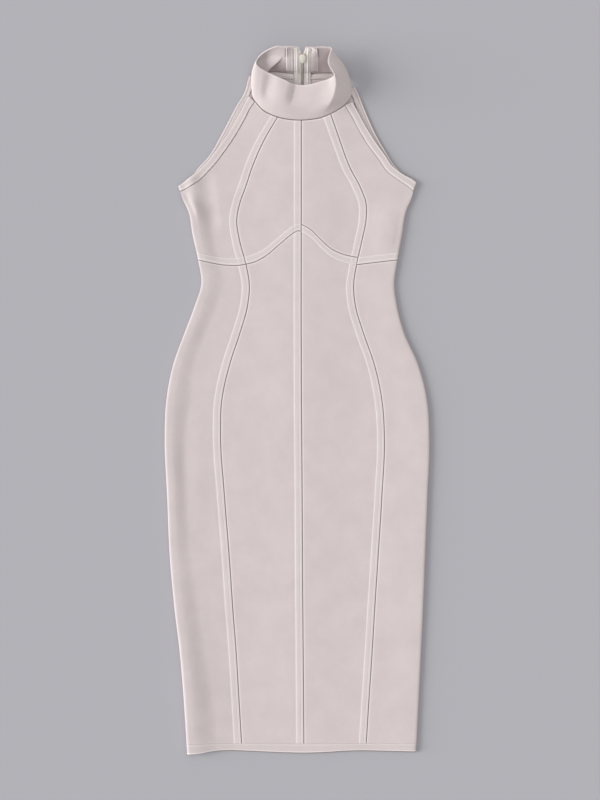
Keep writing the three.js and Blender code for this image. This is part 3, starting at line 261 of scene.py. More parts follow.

# %% [markdown]
# ## From a grid of points to a cloth shell
# Every flat piece of cloth is two grids of points, its outer and its inner face, closed round the rim.
# The mesh keeps maps in real metres: `cloth` for the knit, `seam` and `cross` for rows of stitches beside a
# seam. It also keeps three shares, 0 for none and 1 for full: the share of painted shade, down in a seam and in
# other hollows; the share of painted highlight, on the rolled edge just beside it; and `strip`, where the cloth
# lies double over a pressed seam, which is painted a little lighter. A bright painted highlight has a share over 1.

# %% Cloth shells
MM = 0.001
FAR = -1000.0  # a distance that keeps stitch rows away
ROW_OFFSETS = (3.0, 10.2)  # rows of stitches run this far from a seam


def grid(*parts):
    """One grid of points from its coordinates, each a grid, a row, a column or a number."""
    return np.stack(np.broadcast_arrays(*parts), -1)


def path_length(points):
    return np.concatenate([[0], np.cumsum(np.linalg.norm(np.diff(points, axis=0), axis=1))])


def add_object(name, data):
    made = bpy.data.objects.new(name, data)
    bpy.context.scene.collection.objects.link(made)
    return made


def shell(name, outer, inner, maps, **shares):
    rows, columns = outer.shape[:2]
    points = np.concatenate([outer.reshape(-1, 3), inner.reshape(-1, 3)]) * MM
    at = np.arange(rows * columns).reshape(rows, columns)
    a, b, c, d = at[:-1, :-1].ravel(), at[:-1, 1:].ravel(), at[1:, 1:].ravel(), at[1:, :-1].ravel()
    other = rows * columns
    rim = np.concatenate([at[0, :-1], at[:-1, -1], at[-1, :0:-1], at[:0:-1, 0]])
    ahead = np.roll(rim, -1)
    faces = np.concatenate([
        np.stack([a, b, c, d], 1),
        np.stack([a, d, c, b], 1) + other,
        np.stack([ahead, rim, rim + other, ahead + other], 1),
    ])
    corner = points[faces]
    volume = np.einsum("ij,ij->i", corner[:, 0], np.cross(corner[:, 1], corner[:, 2])).sum()
    volume += np.einsum("ij,ij->i", corner[:, 0], np.cross(corner[:, 2], corner[:, 3])).sum()
    if volume < 0:
        faces = faces[:, ::-1]
    mesh = bpy.data.meshes.new(name)
    mesh.from_pydata(points.tolist(), [], faces.tolist())
    corners = faces.ravel()
    for label, pair in maps.items():
        flat = np.stack([np.tile(np.broadcast_to(part, (rows, columns)).ravel(), 2) for part in pair], 1) * MM
        mesh.uv_layers.new(name=label).data.foreach_set("uv", flat[corners].ravel())
    for label, share in shares.items():
        values = np.broadcast_to(share, (2, rows, columns)).ravel()  # one grid for both faces, or one for each
        mesh.attributes.new(label, "FLOAT", "POINT").data.foreach_set("value", values)
    mesh.validate()
    mesh.shade_smooth()
    return add_object(name, mesh)


def lay(piece, node, slot="knit", body="dress"):
    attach(piece, body)
    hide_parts(node)
    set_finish(piece, slot)
    return piece


def declare(carried=()):
    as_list(carried)


# %% [markdown]
# ## Panels
# A panel is cut between four lines: two sides, a foot and a head. Rows of points cross it from side to side,
# and the places in a row crowd together where the form is small: at a seam, at the free edge of a pressed
# seam allowance and round the side fold.

# %% Panel rows and columns
SIDES, KINDS = ("left", "right", "foot", "head"), ("at_left", "at_right", "at_foot", "at_head")
NEAR_SEAM = [0, 0.2, 0.5, 0.9, 1.5, 2.4, 4.0, 6.5, 9.0, 10.6, 11.4, 11.8, 12.3, 13.2, 15.0]
NEAR_FOLD = [0, 0.2, 0.6, 1.2, 2.0, 3.0, 4.4, 6.0, 8.0, 10.0, 12.5, 15.0, 18.5, 22.0]
NEAR_PLAIN = [0, 0.2, 0.5, 0.9, 1.6, 3.0, 5.5]
FRONT_STEP, BACK_STEP = 4.0, 7.0  # between points where the form is plain
STRIP_LOOK = 0.34  # pressed flat, the strip stands up by less than its own thickness
SEAM_DIP, SEAM_HOLLOW = 0.75, 0.10  # the cloth dips this deep at a seam, and lies this low for a few mm round it
CORNER_STEPS = 40  # half steps, since whole ones swing past where a steep side meets a steep edge
ROW_SHARE = 0.46  # the crowded places at each side take at most this much of a short row
FOOT_REACH, HEAD_REACH = 90, 70  # rows this far from a panel's foot or head still follow its bend


def corner(side, edge):
    y = float(edge(side(0.0)))
    for _ in range(CORNER_STEPS):
        y += (float(edge(side(y))) - y) / 2
    return y


def seam_profile(off):
    """How far the cloth's edge dips into the seam beside it, in mm."""
    return SEAM_DIP * (1 - smooth(off, 0, 0.8)) + SEAM_HOLLOW * (1 - smooth(off, 0.6, 4.0))


def strip_profile(off):
    """The pressed allowance: a flat strip with a soft free edge, and the cloth pulled down just past it."""
    edge = smooth(off, STRIP + STRIP_STEP, STRIP - 0.8)
    return STRIP_LOOK * edge - SEAM_HOLLOW * mark(off, STRIP + 1.3, 0.9)


# Painted shade down in a seam, full at the seam and gone 0.75 mm from it.
def ditch_share(off):
    return 1 - smooth(off, 0, 0.75)


def mark(off, at, half):
    """A soft line at a distance: 1 on it, fading to both sides."""
    return np.exp(-((off - at) / half) ** 2)


# A painted highlight on the rolled edge, 1.5 mm from a seam or rim.
def lip_share(off):
    return mark(off, 1.5, 0.7)


def panel_points(spec, step):
    left, right, foot, head = (spec[side] for side in SIDES)
    low = (corner(left, foot), corner(right, foot))
    high = (corner(left, head), corner(right, head))
    near = np.array(NEAR_SEAM)
    tall = (high[0] - low[0], high[1] - low[1])
    share = np.linspace(0, 1, int(max(tall) / step) + 2)[1:-1]
    up, up_right = (
        np.concatenate([near, lerp(near[-1], side - near[-1], share), side - near[::-1]]) for side in tall
    )
    yl, yr = low[0] + up, low[1] + up_right
    from_head = tall[0] - up
    near_foot, near_head = smooth(up, FOOT_REACH, STRIP), smooth(from_head, HEAD_REACH, STRIP)
    a = np.stack([left(yl), yl], 1)
    b = np.stack([right(yr), yr], 1)
    along = b - a
    length = np.linalg.norm(along, axis=1)
    along = along / length[:, None]

    def slant(side, at_y):
        run = (side(at_y + 1) - side(at_y - 1)) / 2
        tangent = np.stack([run, np.ones_like(run)], 1) / np.hypot(run, 1)[:, None]
        return np.maximum(0.5, abs(along[:, 0] * tangent[:, 1] - along[:, 1] * tangent[:, 0]))

    def places(kind, side, at_y):
        if kind == "fold":
            marks = np.array(NEAR_FOLD)
            return marks[None, :] * np.minimum(1, ROW_SHARE * length / marks[-1])[:, None], np.ones(len(at_y))
        stretch = 1 / slant(side, at_y)
        marks = near if kind == "strip" else np.array(NEAR_PLAIN)
        stretch = np.minimum(stretch, ROW_SHARE * length / marks[-1])
        return marks[None, :] * stretch[:, None], stretch

    first, stretch_first = places(spec["at_left"], left, yl)
    last, stretch_last = places(spec["at_right"], right, yr)
    middle_count = max(2, int((length.max() - 2 * near[-1]) / step))
    t = np.linspace(0, 1, middle_count + 2)[1:-1]
    start, stop = first[:, -1:], (length - last[:, -1])[:, None]
    d = np.concatenate([first, start + (stop - start) * t, (length[:, None] - last)[:, ::-1]], 1)
    u = d / length[:, None]
    xy = a[:, None, :] + along[:, None, :] * d[:, :, None]

    def bend(edge, ends):
        x = lerp(left(ends[0]), right(ends[1]), u)
        return edge(x) - lerp(ends[0], ends[1], u)

    sag = near_foot[:, None] * bend(foot, low) + near_head[:, None] * bend(head, high)
    xy[:, :, 1] += sag
    return {
        "x": xy[:, :, 0], "y": xy[:, :, 1], "d": d, "length": length,
        "a": a, "b": b, "along": along,
        "at_left": d / stretch_first[:, None], "at_right": (length[:, None] - d) / stretch_last[:, None],
        "at_foot": np.tile(up[:, None], (1, d.shape[1])), "at_head": np.tile(from_head[:, None], (1, d.shape[1])),
    }


# %% [markdown]
# ## The side fold
# Where front and back meet at a side, the cloth turns over. The wall follows a full, rounded half turn there,
# from the flat of the panel down to the side seam at its middle height.


# %% Side folds
def curl(outer, inner, ends, along, d, share, turn, raised):
    lift = (left_ridge(ends[:, 1]) if turn > 0 and ends[0, 0] < 0 else np.zeros(len(ends)))[:, None]
    half = np.where(ends[:, 0] < 0, roll_left(ends[:, 1]), roll_right(ends[:, 1]))[:, None]
    near = d < ROLL_INSET
    cos = 1 - np.minimum(d, ROLL_INSET) / ROLL_INSET
    sin = np.cbrt(1 - cos**3)
    clear = GAP / 2
    outer_z = half + turn * (clear + (half + raised + lift - clear) * sin)
    inner_z = half + turn * (clear + (half - WALL + lift - clear) * sin)
    reach = ROLL_INSET - (ROLL_INSET - WALL) * cos
    inner_x = ends[:, :1] + along[:, :1] * reach
    inner_y = ends[:, 1:] + along[:, 1:] * reach
    share = share[:, None] * near
    outer[:, :, 2] = lerp(outer[:, :, 2], outer_z, share)
    inner[:, :, 2] = lerp(inner[:, :, 2], inner_z, share)
    inner[:, :, 0] = lerp(inner[:, :, 0], inner_x, share)
    inner[:, :, 1] = lerp(inner[:, :, 1], inner_y, share)


def panel(name, node, spec, turn, step, carried):
    p = panel_points(spec, step)
    x, y = p["x"], p["y"]
    base = front_inside(x, y) if turn > 0 else np.full_like(x, WALL)
    dip, raised, ditch, lip, strip = (np.zeros_like(x) for _ in range(5))
    maps = {"cloth": (x, y), "seam": (FAR, y), "cross": (FAR, x)}
    for place in KINDS:
        off = p[place]
        if spec[place] in ("fold", "hem"):
            continue
        dip = np.maximum(dip, seam_profile(off))
        # Painted shade down in the seam, and a painted highlight on the rolled edge beside it.
        ditch = np.maximum(ditch, ditch_share(off))
        lip = np.maximum(lip, lip_share(off))
        if spec[place] == "strip":
            raised = np.maximum(raised, strip_profile(off)) + np.minimum(0, strip_profile(off))
            strip = np.maximum(strip, smooth(off, STRIP + 0.4, STRIP - 0.4))
            maps.update({"seam": (off, y)} if place in ("at_left", "at_right") else {"cross": (off, x)})
    face = base + turn * (WALL + raised - dip) if turn > 0 else base - WALL + dip * 0.5
    outer, inner = grid(x, y, face), grid(x, y, base)
    inner[:, :, 2] -= np.minimum(dip, 0.6) if turn > 0 else 0
    for side, ends, along, d in (
        ("at_left", p["a"], p["along"], p["d"]),
        ("at_right", p["b"], -p["along"], p["length"][:, None] - p["d"]),
    ):
        if spec[side] == "fold":
            share = smooth(ends[:, 1], ARMPIT_Y - 1, ARMPIT_Y - CURL_FADE)
            curl(outer, inner, ends, along, d, share, turn, (raised - dip) if turn > 0 else 0)
    piece = shell(name, outer, inner, maps, ditch=ditch, lip=lip, strip=strip)
    lay(piece, node)
    declare(carried)


def cut_panels(patterns, turn, step, carried):
    for name, (*lines, kinds) in patterns.items():
        spec = dict(zip(SIDES + KINDS, lines + kinds.split()))
        panel("cloth_" + name, name, spec, turn, step, carried.get(name, ()))


# %% [markdown]
# ## The eight front panels
# Four panels make the bust and four make the skirt. Each keeps half a gap from its seams. The pressed
# allowance lies on one side of each seam, so only one of two neighbours carries the raised strip.

# %% Front panels
HALF_GAP = GAP / 2
COLLAR_GAP, BACK_COLLAR_GAP = 0.75, 0.3


def shift(line, by):
    return lambda t: line(t) + by


def side_edge(name, outline):
    inward = GAP if name.endswith("left") else -GAP
    above = curve(ARMHOLES[name], "seam_y", "seam_x")
    return lambda y: np.where(np.asarray(y) < ARMPIT_Y - 0.01, outline(y), above(y) + inward)


def flat_line(y):
    return lambda x: np.full_like(np.asarray(x, float), y)


def neckline(x):
    return collar_front(x) - COLLAR_GAP * np.hypot(1, collar_front(x + 0.5) - collar_front(x - 0.5))


def beside(seam):
    """The two edges at a seam: of the piece to its left or below it, and of the one to its right or above it."""
    return shift(seam, -HALF_GAP), shift(seam, HALF_GAP)


hem_line = flat_line(HEM_TOP + HALF_GAP)
left_in, left_out = beside(seam_left)
middle_in, middle_out = beside(seam_centre)
right_in, right_out = beside(seam_right)
bust_low, bust_high = beside(underbust_left)
centre_low, centre_high = beside(underbust_centre_right)
side_low, side_high = beside(underbust_side_right)
armhole_left, armhole_right = side_edge("front_left", outline_left), side_edge("front_right", outline_right)
PANELS = {
    "upper_side_left": (armhole_left, left_in, bust_high, neckline, "fold strip strip plain"),
    "upper_centre_left": (left_out, middle_in, bust_high, neckline, "plain strip strip plain"),
    "upper_centre_right": (middle_out, right_in, centre_high, neckline, "plain strip plain plain"),
    "upper_side_right": (right_out, armhole_right, side_high, neckline, "plain fold strip plain"),
    "lower_side_left": (outline_left, left_in, hem_line, bust_low, "fold strip hem plain"),
    "lower_centre_left": (left_out, middle_in, hem_line, bust_low, "plain strip hem plain"),
    "lower_centre_right": (middle_out, right_in, hem_line, centre_low, "plain strip hem strip"),
    "lower_side_right": (right_out, outline_right, hem_line, side_low, "plain fold hem plain"),
}
cut_panels(PANELS, 1, FRONT_STEP, {})

# %% [markdown]
# ## The back neck's seam allowance
# Inside the neck, the allowance of the neck seam is turned down on the back. It is part of the back's cut.


# %% Turned neck edges
NECK_BELOW, NECK_WIDTH, NECK_WALL = 1.6, 8.5, 1.0
NECK_LEFT_END, NECK_RIGHT_END = -52, 66


def allowance(name, node, neck, x1, x2):
    x = np.linspace(x1, x2, 60)[None, :]
    share = np.concatenate([[0, 0.03, 0.08], np.linspace(0.15, 0.85, 8), [0.92, 0.97, 1]])[:, None]
    off = NECK_WIDTH * share
    y = neck(x) - NECK_BELOW - off
    thin = 0.5 * (1 - smooth(np.minimum(off, NECK_WIDTH - off), 0, 0.8))
    outer, inner = grid(x, y, WALL + GAP + NECK_WALL - thin), grid(x, y, WALL + GAP)
    piece = shell(name, outer, inner, {"cloth": (x, off), "seam": (off, x), "cross": (FAR, x)}, strip=1.0)
    return lay(piece, node)


FACING_FROM, FACING_WIDTH, FACING_LIFT = 13.2, 11.6, 4.5
neck_edges = {
    "back_left": allowance(
        "neck_edge_left", "neck_allowance_left", neck_back_left, NECK_LEFT_END, BACK_X - FACING_FROM
    ),
    "back_right": allowance(
        "neck_edge_right", "neck_allowance_right", neck_back_right, BACK_X + FACING_FROM, NECK_RIGHT_END
    ),
}


# %% [markdown]
# ## The back
# The back has two panels that lie flat on the surface, with the zip between them. Nothing of it shows from
# above but its upper edge, so it is finished plainly, with the same cloth and the same dips at its seams.

# %% Back panels
ZIP_HALF = 0.5  # half of the slit between the two backs
BACK = {
    "back_left": (side_edge("back_left", outline_left), flat_line(BACK_X - ZIP_HALF),
                  hem_line, shift(neck_back_left, -BACK_COLLAR_GAP), "fold plain hem plain"),
    "back_right": (flat_line(BACK_X + ZIP_HALF), side_edge("back_right", outline_right),
                   hem_line, shift(neck_back_right, -BACK_COLLAR_GAP), "plain fold hem plain"),
}
cut_panels(BACK, -1, BACK_STEP, {name: [edge] for name, edge in neck_edges.items()})

# %% [markdown]
# ## Armhole bands
# The armholes are finished with a band, folded over and sewn down: a little thicker than the panel, rounded
# at its free edge, with rows of stitches along it. Its free edge has a painted highlight, with a thin painted
# shade as its outline.

# %% Armhole bands
BAND_PLACES = np.array([0, 0.15, 0.4, 0.8, 1.4, 2.2, 3.2, 3.8, 4.4, 5.1, 5.8, 6.5])
BAND_ROWS = 90
BAND_EDGE = 1.1  # its free edge is rounded over this width
SEAM_SHADE = {"front_right": 0.4}  # the painted shade in this seam is weaker than in the others


def band(name, arm, floor):
    rows = ARMHOLES[arm]
    y = np.linspace(rows["seam_y"].min(), rows["seam_y"].max(), BAND_ROWS)
    seam = np.stack([curve(rows, "seam_y", "seam_x")(y), y], 1)
    edge = np.stack([curve(rows, "seam_y", "edge_x")(y), curve(rows, "seam_y", "edge_y")(y)], 1)
    across = seam - edge
    width = np.linalg.norm(across, axis=1)
    across /= width[:, None]
    width = width - GAP
    t = np.linspace(0, 1, 8)[1:-1]
    last = np.array([1.6, 0.9, 0.5, 0.2, 0])
    start, stop = BAND_PLACES[-1], (width - last[0])[:, None]
    d = np.concatenate([np.tile(BAND_PLACES, (len(y), 1)), start + (stop - start) * t, width[:, None] - last], 1)
    xy = edge[:, None] + across[:, None] * d[:, :, None]
    off = width[:, None] - d
    turned = 1 - np.minimum(d / BAND_EDGE, 1)
    rounded = 0.95 * (1 - np.sqrt(1 - turned**2))
    base = floor(xy[:, :, 0], xy[:, :, 1])
    outer = np.dstack([xy, base + BAND_WALL - rounded - seam_profile(off)])
    inner = np.dstack([xy, base + 0.5 * rounded])
    along = path_length(edge)[:, None]
    maps = {"cloth": (off, along), "seam": (off, along), "cross": (FAR, along)}
    # A painted highlight along the free edge; painted shade in the seam and as a thin outline of the free edge.
    light = np.maximum(lip_share(off), 1.5 * mark(d, 1.5, 0.6))
    dark = np.maximum(SEAM_SHADE.get(arm, 1.0) * ditch_share(off), 0.9 * (1 - smooth(d, 0.3, 0.9)))
    # On the back bands, a second painted highlight, and a painted shadow where the front band's edge overhangs
    # them.
    if arm.startswith("back"):
        light = np.maximum(light, mark(d, 5.8, 0.6))
        dark = np.maximum(dark, 0.5 * mark(d, 3.8, 0.6))
    piece = shell(name, outer, inner, maps, ditch=dark, lip=light)
    lay(piece, "armhole_band_" + arm)
    declare()


def on_floor(x, y):
    return np.zeros_like(x)


for arm in ARMHOLES:
    band("band_" + arm, arm, front_inside if arm.startswith("front") else on_floor)

# %% [markdown]
# ## Turned hems
# The lower edge is turned up once and held by a row of stitches. The turn makes it thicker, and the weight of
# the cloth lets the edge wave by a few millimetres.

# %% Turned hems
HEM_WAVE = table(
    "x y",
    (-170, -1.0), (-152, 0.2), (-134, 3.0), (-112, 4.8), (-80, 4.0), (-20, 1.4), (15, 0.8), (45, 1.8), (72, 3.6),
    (98, 4.4), (140, 3.6), (184, 2.6),
)
hem_wave = curve(HEM_WAVE, "x", "y")
BACK_HEM_LOWER = 1.6  # the back's hem shows this far below the front's
HEM_EDGE, HEM_ROUND = 1.2, 0.8
HEM_STITCHES = 2.7  # the row of stitches is this far below the hem's upper edge
HEM_COLUMNS = 88


def hem(name, node, turn):
    low = OUTLINE["y"][0]
    rise = np.array([0, 0.15, 0.4, 0.8, 1.4, 2.4, 4, 6, 8, 10, 11.5, 12.6, 13.4, 14.3, HEM_TOP + 0.12 - low])
    y = low + rise
    a, b = outline_left(y), outline_right(y)
    width = b - a
    fold = np.array(NEAR_FOLD)
    t = np.linspace(0, 1, HEM_COLUMNS + 2)[1:-1]
    d = np.concatenate([np.tile(fold, (len(y), 1)), lerp(fold[-1], (width - fold[-1])[:, None], t),
                        width[:, None] - fold[::-1]], 1)
    x, level = a[:, None] + d, y[:, None]
    lower = 0 if turn > 0 else BACK_HEM_LOWER
    wavy = level + (hem_wave(x) - lower) * (1 - rise / rise[-1])[:, None]
    turned = 1 - np.minimum(rise / HEM_EDGE, 1)
    rounded = HEM_ROUND * (1 - np.sqrt(1 - turned**2))[:, None]
    low_edge = 1 - smooth(rise, 1.4, 2.6)[:, None]
    if turn > 0:
        base = front_inside(x, level)
        extra = (BAND_WALL - WALL) * (1 - smooth(rise, rise[-1] - 1.6, rise[-1]))[:, None] - rounded
        outer, inner = grid(x, wavy, base + WALL + extra), grid(x, wavy, base + 0.3 * rounded)
        # The front hem's low edge gets a painted highlight.
        shares = {"lip": 1.5 * low_edge, "ditch": 0.0}
    else:
        extra = 0
        outer, inner = grid(x, wavy, 0.3 * rounded), grid(x, wavy, WALL)
        # The back hem's edge, which shows below the front's, is painted dark as a shadow line: painted shadow.
        shares = {"lip": 0.0, "ditch": low_edge}
    flat, one = np.tile([[1.0, 0.0]], (len(y), 1)), np.ones(len(y))
    from_right = width[:, None] - d
    curl(outer, inner, np.stack([a, y], 1), flat, d, one, turn, extra)
    curl(outer, inner, np.stack([b, y], 1), -flat, from_right, one, turn, extra)
    near = np.minimum(d, from_right) < ROLL_INSET
    outer[:, :, 1] = wavy
    inner[:, :, 1] = np.where(near, wavy, inner[:, :, 1])
    off = (rise[-1] - rise)[:, None] + ROW_OFFSETS[1] - HEM_STITCHES
    piece = shell(name, outer, inner, {"cloth": (x, level), "seam": (FAR, level), "cross": (off, x)}, **shares)
    lay(piece, node)
    declare()


hem("turned_hem_front", "hem_front", 1)
hem("turned_hem_back", "hem_back", -1)

# %% [markdown]
# ## The standing collar
# The collar is one band that stands on the neck seam and leans over the open neck. Each section of it runs
# from a point on the seam to a point on the folded rim, and swells out a little between them. Dents where
# the band has been pressed cross it from foot to rim.

# %% The collar's middle surface
COLLAR_WALL = 2.0
COLLAR_FOLDS = table(
    "foot rim left right start stop depth crease",
    (128, 122, 13, 30, 0.15, 1.1, 2.6, 0), (167, 179, 18, 46, 0.3, 1.6, 3.8, 1),
    (220, 266, 38, 38, 0.05, 1.8, -4.4, 1),
)
BACK_OF_COLLAR_Y = 490
NOTCH_FROM, NOTCH_HALF, NOTCH_REACH = 0.78, 3.8, 11
COLLAR["along"] = path_length(grid(COLLAR["x"], COLLAR["y"]))
COLLAR_LENGTH = float(COLLAR["along"][-1])
collar_curves = {name: curve(COLLAR, "along", name) for name in ("x", "y", "z", "rim_x", "rim_y", "rim_z", "bow")}


def unit(v):
    return v / np.linalg.norm(v, axis=-1, keepdims=True)


def collar_fold(fold, along, v):
    foot, rim, left, right, start, stop, depth, crease = fold
    off = along - lerp(foot, rim, v)
    off = np.minimum(1, abs(off) / np.where(off < 0, left, right))
    across = (1 - off) ** 2 if crease else (1 + np.cos(np.pi * off)) / 2
    return depth * across * smooth(v, start, start + 0.35) * (1 - smooth(v, stop - 0.25, stop))


def collar_middle(along, v):
    along, v = np.broadcast_arrays(np.asarray(along, float), np.asarray(v, float))
    r = {name: at(along) for name, at in collar_curves.items()}
    ahead = [collar_curves[name](along + 0.5) - collar_curves[name](along - 0.5) for name in ("x", "y")]
    around = unit(np.stack([*ahead, np.zeros_like(along)], -1))
    foot = np.stack([r["x"], r["y"], r["z"]], -1)
    chord = np.stack([r["rim_x"], r["rim_y"], r["rim_z"]], -1) - foot
    out = unit(np.cross(around, chord))
    swell = 4 * r["bow"] * v * (1 - v)
    for fold in zip(*COLLAR_FOLDS.values()):
        swell = swell - collar_fold(fold, along, v)
    p = foot + chord * v[..., None] + out * swell[..., None]
    side = np.sign(p[..., 0] - BACK_X)
    near = np.maximum(0, 1 - abs(p[..., 0] - BACK_X) / NOTCH_REACH)
    p[..., 0] += np.where(r["y"] > BACK_OF_COLLAR_Y, side * NOTCH_HALF * near * smooth(v, NOTCH_FROM, 1), 0)
    return p


def collar_point(along, v, depth):
    along, v = np.broadcast_arrays(np.asarray(along, float), np.asarray(v, float))
    around = collar_middle(along + 0.4, v) - collar_middle(along - 0.4, v)
    up = collar_middle(along, np.minimum(1, v + 0.02)) - collar_middle(along, np.maximum(0, v - 0.02))
    return collar_middle(along, v) + unit(np.cross(up, around)) * np.asarray(depth)[..., None]


# %% The collar's shell
INNER_FOLD = table("v along", (0, 53), (0.1, 49), (0.54, 31), (1.0, 27))
INNER_FOLD_DEPTH, INNER_FOLD_TOP = 7.0, 0.64
COLLAR_HEIGHT = 56.0  # from seam to rim, measured along the wall
FACING_END = FACING_FROM + FACING_WIDTH  # the turned-in edge's far side, from the zip
inner_fold_line = curve(INNER_FOLD, "v", "along")


def along_collar(side, off):
    """The place round the collar that is this far from the zip, on its left (-1) or right (1)."""
    if side < 0:
        return off - (BACK_X - COLLAR["x"][0])
    return COLLAR_LENGTH - off + (COLLAR["x"][-1] - BACK_X)


def inner_fold(along, v):
    """On the left, the band's inner layer has slipped and stands off in a fold of its own."""
    past = smooth(along - inner_fold_line(v), 0, 1.8)
    return INNER_FOLD_DEPTH * past * (1 - smooth(along, 66, 108)) * np.maximum(0, 1 - v / INNER_FOLD_TOP)


def wall_shade(along, v):
    """Painted shade in the pocket under the inner fold, and painted shadow where the turned-in edges stand off the
    wall.
    """
    left, right = along_collar(-1, FACING_END + 1.4), along_collar(1, FACING_END + 1.4)
    slots = (mark(along, left, 1.1) + mark(along, right, 1.1)) * smooth(v, 0.6, 0.66) * (1 - smooth(v, 0.92, 0.96))
    pocket = smooth(along, left - 3, left) * (1 - smooth(along - inner_fold_line(v), 0, 0.8))
    return np.maximum(slots, 0.4 * pocket * (1 - smooth(v, 0.3, INNER_FOLD_TOP)))


def collar():
    along = np.concatenate([np.linspace(0, 26, 19)[:-1], np.linspace(26, 56, 50)[:-1],
                            np.linspace(56, COLLAR_LENGTH, 230)])[None, :]
    v = np.concatenate([np.linspace(0, 0.94, 48), [0.96, 0.975, 0.985, 0.992, 0.997, 1.0]])[:, None]
    off = v * COLLAR_HEIGHT
    from_rim = COLLAR_HEIGHT - off
    half = COLLAR_WALL / 2 * np.sqrt(np.maximum(0.02, 1 - (1 - np.minimum(from_rim, 1)) ** 2))
    outer = collar_point(along, v, 0.35 * (1 - smooth(off, 0, 1.6)) - half)
    inner = collar_point(along, v, half + inner_fold(along, v))
    # Painted shade at the collar's foot, down in the neck seam; on the inner face also the painted shade of
    # wall_shade.
    foot_shade = 1 - smooth(off, 0, 0.9)
    shade = np.stack(np.broadcast_arrays(foot_shade, np.maximum(foot_shade, wall_shade(along, v))))
    maps = {"cloth": (along, off), "seam": (FAR, off), "cross": (FAR, off)}
    # A painted highlight along the rim.
    piece = shell("collar_band", outer, inner, maps, ditch=shade, lip=0.6 * lip_share(from_rim))
    lay(piece, "collar")
    declare()


collar()

# %% [markdown]
# ## Inside the open neck
# Through the open neck the back of the collar shows its inside: the turned-in centre-back edges, the zip
# tapes, the closed teeth and the allowance of the neck seam. Each is a ribbon that lies flat on the back
# and then climbs the collar's wall.

# %% Ribbons
TAPE_CLEAR, TAPE_WIDTH, TAPE_RIDGE = 1.8, 10.8, 8.0
SLIDER_TOP = 0.76  # its wide end, as a share of the collar's height


def ribbon(name, node, side, across, flat_ys, heights, profile, lift, marks, slot="knit"):
    """profile(d) is the thickness across the ribbon, lift(v) how far its outer edge stands off the collar.
    marks(d, v) gives the share of painted highlight on a rim and of painted shade in a groove at a place."""
    share = (across - across[0]) / (across[-1] - across[0])
    thick = profile(across)

    def face(level):
        flat = grid(BACK_X + side * across, flat_ys[:, None], WALL + GAP + level * thick)
        depth = COLLAR_WALL / 2 + GAP + level * thick + lift(heights)[:, None] * share
        return np.concatenate([flat, collar_point(along_collar(side, across), heights[:, None], depth)])

    outer, inner = face(1.0), face(0.0)
    u, v = across - across[0], path_length(outer[:, len(across) // 2])[:, None]
    maps = {"cloth": (u, v), "seam": (u, v), "cross": (FAR, v)}
    # A painted highlight along both edges, with the marks' painted highlight and painted shade.
    rim = lip_share(np.minimum(u, u[-1] - u) + 1.1)
    light, dark = marks(across, np.concatenate([np.zeros(len(flat_ys)), heights])[:, None])
    piece = shell(name, outer, inner, maps, lip=np.maximum(rim, light), ditch=dark)
    lay(piece, node, slot)
    declare()


def plain_ribbon(d):
    return 1.0 - 0.5 * (1 - smooth(np.minimum(d - d[0], d[-1] - d), 0, 0.8))


def tape_with_ridge(d):
    """The tape is sewn to the turned-in edge under it, which pushes a narrow ridge up along it."""
    return plain_ribbon(d) + 0.9 * mark(d, TAPE_RIDGE, 0.8)


def tape_marks(d, v):
    """A painted highlight along the ridge, and painted shade in the hollow beside the slider's wide end."""
    return 1.3 * mark(d, TAPE_RIDGE - 0.3, 0.9), mark(d, TAPE_CLEAR + 1.2, 1.4) * mark(v, SLIDER_TOP, 0.045)


def facing_marks(d, v):
    """A painted highlight along the free edge, and a painted shadow just inside it, where the edge stands off the
    wall.
    """
    edge, near_rim = FACING_END - d, smooth(v, 0.62, 0.72)
    return 1.6 * mark(edge, 0.8, 0.7) * near_rim, 0.8 * mark(edge, 2.7, 0.5) * near_rim


def spaced(a, b, count):
    edge = np.array([0, 0.25, 0.6, 1.0])
    return np.concatenate([a + edge, np.linspace(a + 1.6, b - 1.6, count), b - edge[::-1]])


TAPE_LIFT = 1.6
NOT_FLAT = np.array([])  # a ribbon that starts on the collar
BODY_YS = np.concatenate([np.linspace(ZIP_END_Y, 440, 60), np.linspace(444, 498, 18)])
tape_across = spaced(TAPE_CLEAR, TAPE_CLEAR + TAPE_WIDTH, 15)
facing_across = spaced(FACING_FROM, FACING_END, 9)


def tape_lift(v):
    return TAPE_LIFT * smooth(v, 0.8, 0.97)


def facing_lift(v):
    return FACING_LIFT * smooth(v, 0.6, 1)


for side, label in ((-1, "left"), (1, "right")):
    ribbon("tape_" + label, "zip_tape_" + label, side, tape_across, BODY_YS, np.linspace(0.05, 0.97, 40),
           tape_with_ridge, tape_lift, tape_marks, slot="zip_tape")
    ribbon("centre_back_edge_" + label, "centre_back_facing_" + label, side, facing_across, NOT_FLAT,
           np.linspace(0.1, 0.99, 36), plain_ribbon, facing_lift, facing_marks)


# %% [markdown]
# ## The closed teeth
# A nylon zip is two coils whose turns lie between each other. One turn looks like a short rounded bar, so a
# single bar is modelled for each side, and an Array modifier sets it at every turn along three straight
# runs: flat on the back, over the neck seam and up the collar.

# %% Zip teeth
TOOTH = (2.0, 0.95, 1.5)  # across, along and up, in mm
TOOTH_PITCH, TOOTH_BEVEL, TOOTH_ASIDE = 1.55, 0.35, 0.55
TOOTH_LEVEL = 0.8  # a tooth's middle above what the chain lies on
CHAIN_DEPTH = COLLAR_WALL / 2 + 2 * GAP + TOOTH_LEVEL


def chain_on_collar(v):
    x, y, z = collar_point(0.0, v, CHAIN_DEPTH)
    return np.array([BACK_X, y, z])


CHAIN_PATH = [np.array([BACK_X, y, WALL + GAP + TOOTH_LEVEL]) for y in (ZIP_END_Y + 0.5, 497)]
CHAIN_PATH += [chain_on_collar(v) for v in (0.06, 0.27, 0.48)]


